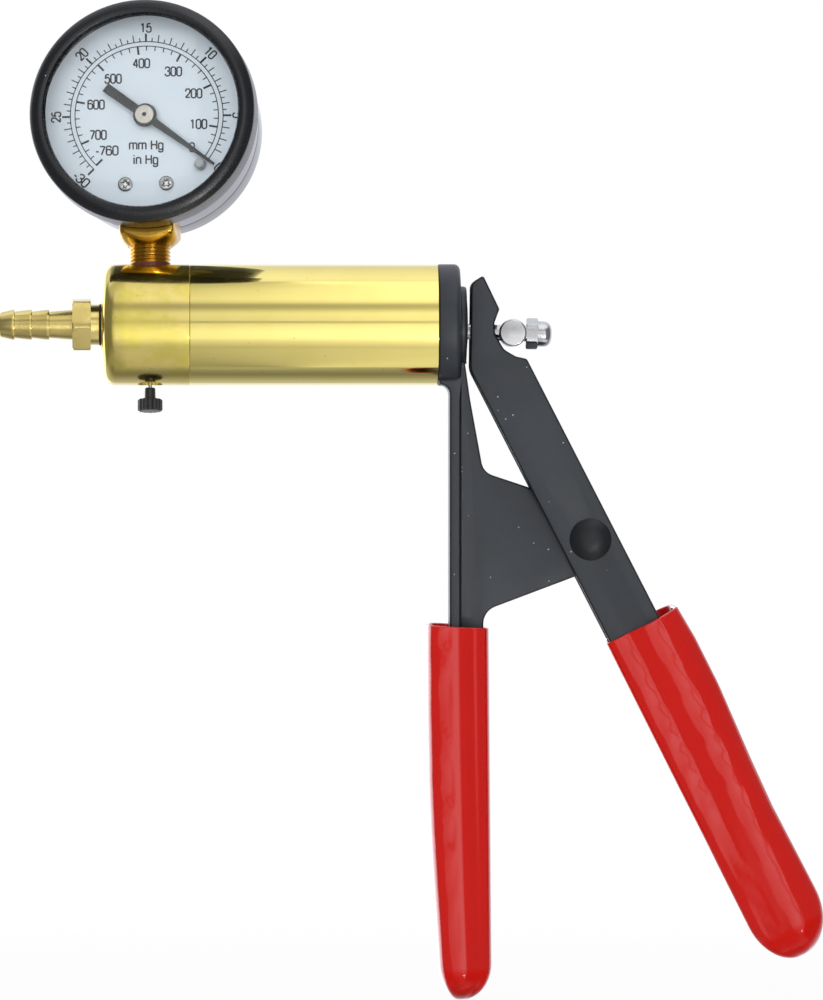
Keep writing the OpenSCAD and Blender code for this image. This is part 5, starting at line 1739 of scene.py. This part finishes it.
@dataclass
class Gauge:
    """Dial gauge: bezel, case, lens, print, pointer cap, screws, socket and thread.

    Heights are out of the dial from the stem's axis, radii from the dial's middle.
    """

    height: float = 51.5
    bezel_r: float = 28.29
    open_r: float = 24.2
    bezel_back: float = 7.3
    bezel_front: float = 16.8
    lens_r: float = 26.0
    lens_back: float = 13.5
    lens_front: float = 15.1
    case_r: float = 26.3
    case_back: float = -15.8
    case_front: float = 12.5
    groove: float = -7.4
    dial_face: float = 7.5
    cap_base: float = 9.4
    cap_r: float = 2.4
    cap_h: float = 1.0
    screw_x: float = 5.0
    screw_y: float = -16.6
    screw_r: float = 1.75
    screw_h: float = 0.8
    stop_r: float = 1.36
    stop_top: float = 9.7
    block_w: float = 14.0
    block_foot: float = 19.8
    block_top: float = 38.5
    thread_r: float = 5.1
    thread_depth: float = 0.45
    thread_pitch: float = 0.94
    thread_low: float = 15.1
    ink: float = 0.03
    hand_edge: float = 0.08
    cross: tuple[float, float] = (1.25, 0.45)
    cross_depth: float = 0.6

    def build(self, finishes: dict, frame: dict) -> None:
        """Makes the gauge's pieces.

        Args:
            finishes: the materials by name
            frame: what the frame's loading returned
        """
        centre, outward = joint_place(frame, "pointer_turn")
        _, up = joint_place(frame, "release_push")
        across = np.cross(up, outward)
        dial = Place(centre, np.array([across, up, outward]))
        stem = Place(centre - up * self.height, np.array([across, -outward, up]))
        low, high = (np.array(corner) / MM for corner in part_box("stop_pin"))
        stop = Place(centre + ((low + high) / 2 - centre) @ dial.axes[:2].T @ dial.axes[:2], dial.axes)
        fixed, moving = Body.FRAME, Body.POINTER
        socket = [self.block(), self.thread()]
        rows = (
            ("bezel_ring", [self.bezel()], dial, 50, "bezel_black", fixed, "bezel_black", ("gauge_bezel",)),
            ("case_cup", [self.case()], dial, 35, "gauge_black", fixed, "gauge_black", ("gauge_case",)),
            ("lens_disc", [self.lens()], dial, 35, "lens_clear", fixed, "lens_clear", ("lens",)),
            ("screw_heads", self.screws(), dial, 30, "screw_nickel", fixed, "zinc", ("dial_screws",)),
            ("hub_cap", [self.hub()], dial, 35, "hub_nickel", moving, "zinc", ("pointer_cap",)),
            # Dark arbor tip: painted shade for the cap's hole, laid over the brass arbor's end.
            ("arbor_tip", [self.arbor_tip()], dial, 35, "pointer_grey", moving, "pointer_grey", ()),
            ("stop_stud", [self.stop()], stop, 35, "stop_grey", fixed, "zinc", ("stop_pin",)),
            ("socket_body", socket, stem, 40, "gauge_brass", fixed, "gauge_brass", ("gauge_socket",)),
        )
        for name, skins, place, smooth, finish, body, slot, stands_for in rows:
            settle(add_mesh(name, skins, place, smooth), finishes[finish], body, stands_for)
        hand = bevelled_copy("pointer_hand", frame["nodes"]["pointer"], self.hand_edge, 2)
        settle(hand, finishes["pointer_grey"], moving, ("pointer",))
        scales = DialPrint(self.dial_face, self.ink).build(dial)
        settle(scales, finishes["dial_ink"], fixed)

    def bezel(self) -> Skin:
        """Bezel: a lathed loop with an eased edge, a crowned face and a lip that slopes in to the lens.

        Returns:
            The skin.
        """
        corners = [
            (self.bezel_back, self.case_r + 0.05), (self.bezel_back, self.bezel_r),
            (self.bezel_front - 1.7, self.bezel_r), (self.bezel_front - 0.65, self.bezel_r - 1.0),
            (self.bezel_front, self.bezel_r - 2.4), (self.bezel_front - 0.3, self.open_r + 0.5),
            (self.lens_front + 0.05, self.open_r), (self.lens_front + 0.05, self.case_r + 0.05),
        ]
        return lathe(softened(corners, [0, 0.6, 0.5, 0.6, 0.6, 0.3, 0, 0], 8), 256, closed=True)

    def case(self) -> Skin:
        """Case: a lathed cup with a rounded back edge and a fine groove round it.

        Returns:
            The skin.
        """
        wall, r = 1.2, self.case_r
        corners = [
            (self.case_back, 0), (self.case_back, r), (self.groove - 0.25, r), (self.groove, r - 0.25),
            (self.groove + 0.25, r), (self.case_front, r), (self.case_front, r - wall),
            (self.case_back + wall, r - wall), (self.case_back + wall, 0),
        ]
        return lathe(softened(corners, [0, 1.2, 0.05, 0.05, 0.05, 0, 0, 1.0, 0], 8), 256)

    def lens(self) -> Skin:
        """Lens: a lathed disc with broken edges.

        Returns:
            The skin.
        """
        corners = [(self.lens_back, 0), (self.lens_back, self.lens_r), (self.lens_front, self.lens_r)]
        corners += [(self.lens_front, 0)]
        return lathe(softened(corners, [0, 0.1, 0.1, 0], 3), 192)

    def hub(self) -> Skin:
        """Pointer's cap: a lathed button with a hole in its middle.

        Returns:
            The skin.
        """
        top = self.cap_base + self.cap_h
        corners = [
            (self.cap_base, 0), (self.cap_base, self.cap_r), (top, self.cap_r), (top, 0.5), (top - 0.5, 0.4),
            (top - 0.5, 0),
        ]
        return lathe(softened(corners, [0, 0, 0.3, 0.08, 0.05, 0], 6), 96)

    def arbor_tip(self) -> Skin:
        """Arbor's end in the cap's hole: a small lathed dome, dark grey as painted shade for the hole over
        the brass arbor.

        Returns:
            The skin.
        """
        floor = self.cap_base + self.cap_h - 0.55
        corners = [(floor, 0), (floor, 0.45), (floor + 0.52, 0.45), (floor + 0.52, 0)]
        return lathe(softened(corners, [0, 0, 0.12, 0], 6), 48)

    def stop(self) -> Skin:
        """Stop stud: a lathed post with a domed top.

        Returns:
            The skin.
        """
        corners = [
            (self.dial_face - 0.1, 0), (self.dial_face - 0.1, self.stop_r), (self.stop_top, self.stop_r),
            (self.stop_top, 0),
        ]
        return lathe(softened(corners, [0, 0, self.stop_r * 0.8, 0], 12), 96)

    def screws(self) -> list[Skin]:
        """Two screw heads: domed discs sunk by a cross, deep where an arm's half width holds the point.

        Returns:
            The two skins.
        """
        long, wide = self.cross
        r = np.concatenate([np.linspace(0, self.screw_r, 40), [self.screw_r, self.screw_r, 0]])[:, None]
        turn = once_round(160)
        dome = self.dial_face + self.screw_h * (1 - 0.45 * (r / self.screw_r) ** 4)
        heads = []
        for side, twist in ((-1, 4.0), (1, 42.0)):
            a = turn + math.radians(twist)
            x, y = np.abs(r * np.cos(a)), np.abs(r * np.sin(a))
            arm = np.minimum(np.maximum(x / long, y / wide), np.maximum(y / long, x / wide))
            z = dome - self.cross_depth * np.clip(1.6 * (1.05 - arm), 0, 1)
            z[-2:] = self.dial_face
            px = side * self.screw_x + r * np.cos(turn)
            py = self.screw_y + r * np.sin(turn)
            heads.append(grid_skin(np.stack([px, py, z], axis=-1)))
        return heads

    def block(self) -> Skin:
        """Socket block: a square with eased corners, turned to a cone below.

        Returns:
            The skin.
        """
        foot, top = self.block_foot, self.block_top
        z = np.concatenate([[foot], np.linspace(foot, foot + 5, 40), [top, top]])[:, None]
        turn = once_round(320)
        square = polygon_radius(turn, 4, self.block_w, self.block_w / 2 * 1.36)
        cone = np.interp(z, self.block_foot + np.array([0, 2.2, 3.4]), [self.thread_r + 0.5, 8.6, 12.0])
        r = soft_least(square, cone, 16.0)
        r[[0, -1]] = 0
        return turned(r, turn, z)

    def thread(self) -> Skin:
        """Pipe thread: radius falls from the crest by the distance to the nearest turn of a helix.

        Returns:
            The skin.
        """
        rows = np.linspace(self.thread_low - 1.0, self.block_foot + 0.4, 130)
        z = np.concatenate([[rows[0]], rows, [rows[-1]]])[:, None]
        turn = once_round(120)
        phase = np.mod(z / self.thread_pitch - turn / (2 * math.pi), 1.0)
        valley = np.clip(np.abs(phase - 0.5) * 2 * 1.5 - 0.3, 0, 1)
        r = self.thread_r - self.thread_depth * valley
        r[[0, -1]] = 0
        return turned(r, turn, z)


Strokes = tuple[tuple[tuple[tuple[float, float], ...], tuple[float, ...]], ...]


def bar(x0: float, y0: float, x1: float, y1: float) -> tuple:
    """A straight stroke of a letter."""
    return (((x0, y0), (x1, y1)), (0, 0))


def ring(x0: float, y0: float, x1: float, y1: float, cut: float) -> tuple:
    """A closed stroke round a box, its corners eased by a cut."""
    return (((x0, y0), (x1, y0), (x1, y1), (x0, y1)), (cut,) * 4)


DIGIT = 0.66
GLYPHS: dict[str, tuple[float, Strokes]] = {
    " ": (0.36, ()),
    "-": (0.4, (bar(0, 0.36, 0.28, 0.36),)),
    "0": (DIGIT, (ring(0, 0, 0.5, 1, 0.25),)),
    "1": (DIGIT, (bar(0.27, 0, 0.27, 1), bar(0.27, 1, 0.08, 0.78))),
    "2": (DIGIT, (
        (((0.02, 0.7), (0.02, 1), (0.5, 1), (0.5, 0.58), (0, 0.05)), (0, 0.23, 0.23, 0.19, 0)),
        bar(0, 0.05, 0.5, 0.05),
    )),
    "3": (DIGIT, (
        (((0.03, 0.76), (0.03, 1), (0.47, 1), (0.47, 0.54), (0.2, 0.54)), (0, 0.21, 0.21, 0.22, 0)),
        (((0.2, 0.54), (0.5, 0.54), (0.5, 0), (0, 0), (0, 0.25)), (0, 0.24, 0.24, 0.23, 0)),
    )),
    "4": (DIGIT, (bar(0.37, 0, 0.37, 1), bar(0.37, 1, 0, 0.3), bar(0, 0.3, 0.52, 0.3))),
    "5": (DIGIT, (
        bar(0.46, 0.95, 0.1, 0.95),
        bar(0.1, 0.95, 0.04, 0.48),
        (
            ((0.04, 0.48), (0.12, 0.64), (0.5, 0.64), (0.5, 0), (0, 0), (0, 0.24)),
            (0, 0.1, 0.26, 0.24, 0.22, 0),
        ),
    )),
    "6": (DIGIT, (
        ring(0, 0, 0.5, 0.62, 0.23),
        (((0.47, 0.76), (0.47, 1), (0, 1), (0, 0.3)), (0, 0.21, 0.25, 0)),
    )),
    "7": (DIGIT, (bar(0, 0.95, 0.5, 0.95), bar(0.5, 0.95, 0.16, 0))),
    "H": (0.72, (bar(0, 0, 0, 1), bar(0.52, 0, 0.52, 1), bar(0, 0.53, 0.52, 0.53))),
    "g": (0.58, (
        ring(0, 0, 0.42, 0.72, 0.2),
        (((0.42, 0.72), (0.42, -0.28), (0, -0.28), (0, -0.1)), (0, 0.2, 0.17, 0)),
    )),
    "i": (0.24, (bar(0, 0, 0, 0.72), bar(0, 0.88, 0, 1))),
    "m": (0.92, (
        bar(0, 0, 0, 0.72),
        (((0, 0.45), (0, 0.72), (0.36, 0.72), (0.36, 0)), (0, 0.17, 0.17, 0)),
        (((0.36, 0.45), (0.36, 0.72), (0.72, 0.72), (0.72, 0)), (0, 0.17, 0.17, 0)),
    )),
    "n": (0.6, (
        bar(0, 0, 0, 0.72),
        (((0, 0.45), (0, 0.72), (0.42, 0.72), (0.42, 0)), (0, 0.2, 0.2, 0)),
    )),
}


@dataclass
class DialPrint:
    """Scales and numbers on the dial, as a thin raised print.

    Args:
        face: height of the dial's face
        ink: thickness of the print
    """

    face: float
    ink: float
    arc_out: float = 18.85
    arc_in: float = 17.7
    arc_half: float = 0.12
    unit_deg: float = 9.05
    zero_deg: float = -36.5
    mm_per_inch: float = 25.4
    thin: float = 0.135
    bold: float = 0.25
    stroke: float = 0.19
    stretch: tuple[Colour, Colour, Colour] = ((0.99, -0.0237, 0.0), (0.0, 0.969, 0.0), (0.0, 0.0, 1.0))
    shift: Colour = (0.18, 0.25, 0.0)
    letter: float = 2.25
    gap: float = 0.16
    digit: float = 1.44
    digit_gap: float = 0.35
    number_r: float = 22.4
    sunk: float = 0.02

    def build(self, dial: Place) -> Piece:
        """One object with all ticks, arcs and words.

        Args:
            dial: the dial's frame

        Returns:
            The print.
        """
        skins = [self.ticks(), *self.arcs()]
        for word in self.labels():
            skins += self.word(*word)
        skins = [(points @ self.stretch + self.shift, quads) for points, quads in skins]
        return add_mesh("dial_print", skins, dial, 30)

    def angle(self, inches: Array) -> Array:
        """Turn of a reading from the right-hand side in degrees: even above 2, closer towards zero."""
        low = np.interp(inches, [0, 1, 2], [self.zero_deg, -32.0, (2 - 5) * self.unit_deg])
        return np.where(inches < 2, low, (inches - 5) * self.unit_deg)

    def band(self, line: Array, half: float, loop: bool = False) -> Skin:
        """Flat band along a line: half a width to each side, square across its direction, one ink thick.

        Args:
            line: points on the dial
            half: half the band's width
            loop: whether the line closes on itself

        Returns:
            The band's skin, with its ends closed.
        """
        ahead = np.roll(line, -1, axis=0) - np.roll(line, 1, axis=0) if loop else np.gradient(line, axis=0)
        ahead /= np.linalg.norm(ahead, axis=1, keepdims=True)
        side = np.stack([-ahead[:, 1], ahead[:, 0]], axis=1) * half
        flat = np.stack([line - side, line + side, line + side, line - side], axis=1)
        levels = self.face + np.array([-self.sunk, -self.sunk, self.ink, self.ink])
        tube = np.concatenate([flat, np.broadcast_to(levels[None, :, None], flat.shape[:2] + (1,))], axis=-1)
        if not loop:
            ends = tube[[0, -1]].mean(axis=1, keepdims=True) + np.zeros((2, 4, 1))
            tube = np.concatenate([ends[:1], tube, ends[1:]])
        return grid_skin(tube, wrap_rows=loop)

    def boxes(self, turn: Array, inner: Array, outer: Array, half: Array) -> Skin:
        """Flat bars along the radius: corners at inner and outer, half a width to each side, one ink thick.

        Args:
            turn: the bars' turns in degrees
            inner: their inner ends
            outer: their outer ends
            half: half their widths

        Returns:
            The skin.
        """
        a = np.radians(turn)[:, None]
        way = np.concatenate([np.cos(a), np.sin(a)], axis=1)[:, None, :]
        side = np.concatenate([-np.sin(a), np.cos(a)], axis=1)[:, None, :]
        reach = np.stack([inner, outer, outer, inner], axis=1)[:, :, None]
        shift = np.stack([-half, -half, half, half], axis=1)[:, :, None]
        flat = reach * way + shift * side
        low = np.full(flat.shape[:2] + (1,), self.face - self.sunk)
        high = low + self.ink + self.sunk
        points = np.concatenate([np.concatenate([flat, level], -1) for level in (low, high)], 1)
        box = np.array([[0, 3, 2, 1], [4, 5, 6, 7], [0, 1, 5, 4], [1, 2, 6, 5], [2, 3, 7, 6], [3, 0, 4, 7]])
        faces = (np.arange(len(turn)) * 8)[:, None, None] + box
        return points.reshape(-1, 3), faces.reshape(-1, 4)

    def ticks(self) -> Skin:
        """Outer scale in inches and inner scale in millimetres of mercury.

        Returns:
            The bars' skin.
        """
        inches = np.arange(2, 30.01, 0.5)
        whole, five = np.mod(inches, 1) == 0, np.mod(inches, 5) == 0
        outer = self.arc_out + np.where(five, 2.05, np.where(whole, 1.85, 0.95))
        half = np.where(five, self.bold, self.thin)
        mm = np.arange(60, 760.1, 20)
        heavy = (np.mod(mm, 100) == 0) | (mm == 760)
        inner = self.arc_in - np.where(heavy, 2.1, 1.15)
        thick = np.where(heavy, self.bold, self.thin)
        turn = np.concatenate([self.angle(inches), self.angle(mm / self.mm_per_inch), [self.zero_deg]])
        starts = np.concatenate([0 * inches + self.arc_out, inner, [self.arc_in - 2.0]])
        ends = np.concatenate([outer, 0 * mm + self.arc_in, [self.arc_in]])
        return self.boxes(turn, starts, ends, np.concatenate([half, thick, [self.bold]]))

    def arcs(self) -> list[Skin]:
        """Two arcs from zero to full scale, each a flat band carried round the dial.

        Returns:
            The two skins.
        """
        turn = np.radians(np.linspace(self.zero_deg, float(self.angle(np.array(30.0))), 200))
        round_ = np.stack([np.cos(turn), np.sin(turn)], axis=1)
        return [self.band(radius * round_, self.arc_half) for radius in (self.arc_out, self.arc_in)]

    def labels(self) -> list[tuple[str, float, float, float, float]]:
        """Numbers and units.

        Returns:
            Each word with the two measures of its place, its turn and its width.
        """
        words = []
        for value in (5, 10, 15, 20, 25):
            turn = float(self.angle(np.array(float(value))))
            x, y = (self.number_r * ratio(math.radians(turn)) for ratio in (math.cos, math.sin))
            words.append((str(value), x, y, turn - 90, self.digit * len(str(value)) - self.digit_gap))
        words.append(("-30", -16.1, -16.2, -42.0, 4.0))
        words.append(("0", 17.7, -13.1, -44.0, 1.1))
        places = {
            "0": (11.2, -8.1), "100": (12.8, -2.2), "200": (11.6, 5.6), "300": (6.6, 11.2),
            "400": (-1.3, 13.3), "500": (-8.3, 9.4), "600": (-12.5, 2.8), "700": (-12.0, -4.9),
            "-760": (-9.8, -8.9),
        }
        for text, (x, y) in places.items():
            words.append((text, x, y, 0.0, self.digit * len(text) - self.digit_gap))
        words.append(("mm Hg", -0.1, -7.5, 0.0, 8.2))
        words.append(("in Hg", -0.2, -11.2, 0.0, 5.8))
        return words

    def word(self, text: str, x: float, y: float, turn: float, width: float) -> list[Skin]:
        """A word's strokes as flat bands, stretched to its width and turned about its middle.

        Args:
            text: the word
            x: its middle across the dial
            y: its middle up the dial
            turn: its turn in degrees
            width: its width

        Returns:
            One skin for each stroke.
        """
        natural = sum(GLYPHS[letter][0] for letter in text) - self.gap
        a = math.radians(turn)
        spin = np.array([[math.cos(a), math.sin(a)], [-math.sin(a), math.cos(a)]])
        pen, skins = 0.0, []
        for letter in text:
            advance, strokes = GLYPHS[letter]
            for corners, cuts in strokes:
                line = softened(list(corners), list(cuts), 7) + [pen - natural / 2, -0.5]
                line = line * [width / natural, self.letter] @ spin + [x, y]
                skins.append(self.band(line, self.stroke, loop=min(cuts) > 0))
            pen += advance
        return skins


def dress_solids(frame: dict, finishes: dict) -> None:
    """Gives each solid that still shows the finish of its material slot in the record.

    Args:
        frame: what the frame's loading returned
        finishes: the materials by name
    """
    for name, node in frame["nodes"].items():
        slot = node.data.materials[0].name.split(".")[0]
        node.data.materials.clear()
        node.data.materials.append(finishes[slot])
        LOG.info("solid %s: %s", name, slot)


def main() -> None:
    """Builds the stage and every piece."""
    logging.basicConfig(level=logging.INFO, format="%(message)s")
    bpy.ops.wm.read_factory_settings(use_empty=True)
    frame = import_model()
    solid_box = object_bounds()
    bpy.context.scene.view_settings.view_transform = "Standard"
    Studio().build(solid_box[0].z / MM)
    finishes = {finish.name: finish.material() for finish in FINISHES}
    dress_solids(frame, finishes)
    pivot, _ = joint_place(frame, "lever_swing")
    pin, _ = joint_place(frame, "rod_turn")
    line = BarrelLine()
    line.build(finishes)
    Grips().build(finishes, pivot)
    Linkage().build(finishes, frame, pivot, pin)
    ReleaseKnob().build(finishes, frame, line.port_x)
    Springs().build(finishes, frame, line.port_x)
    Gauge().build(finishes, frame)


if __name__ == "__main__":
    main()
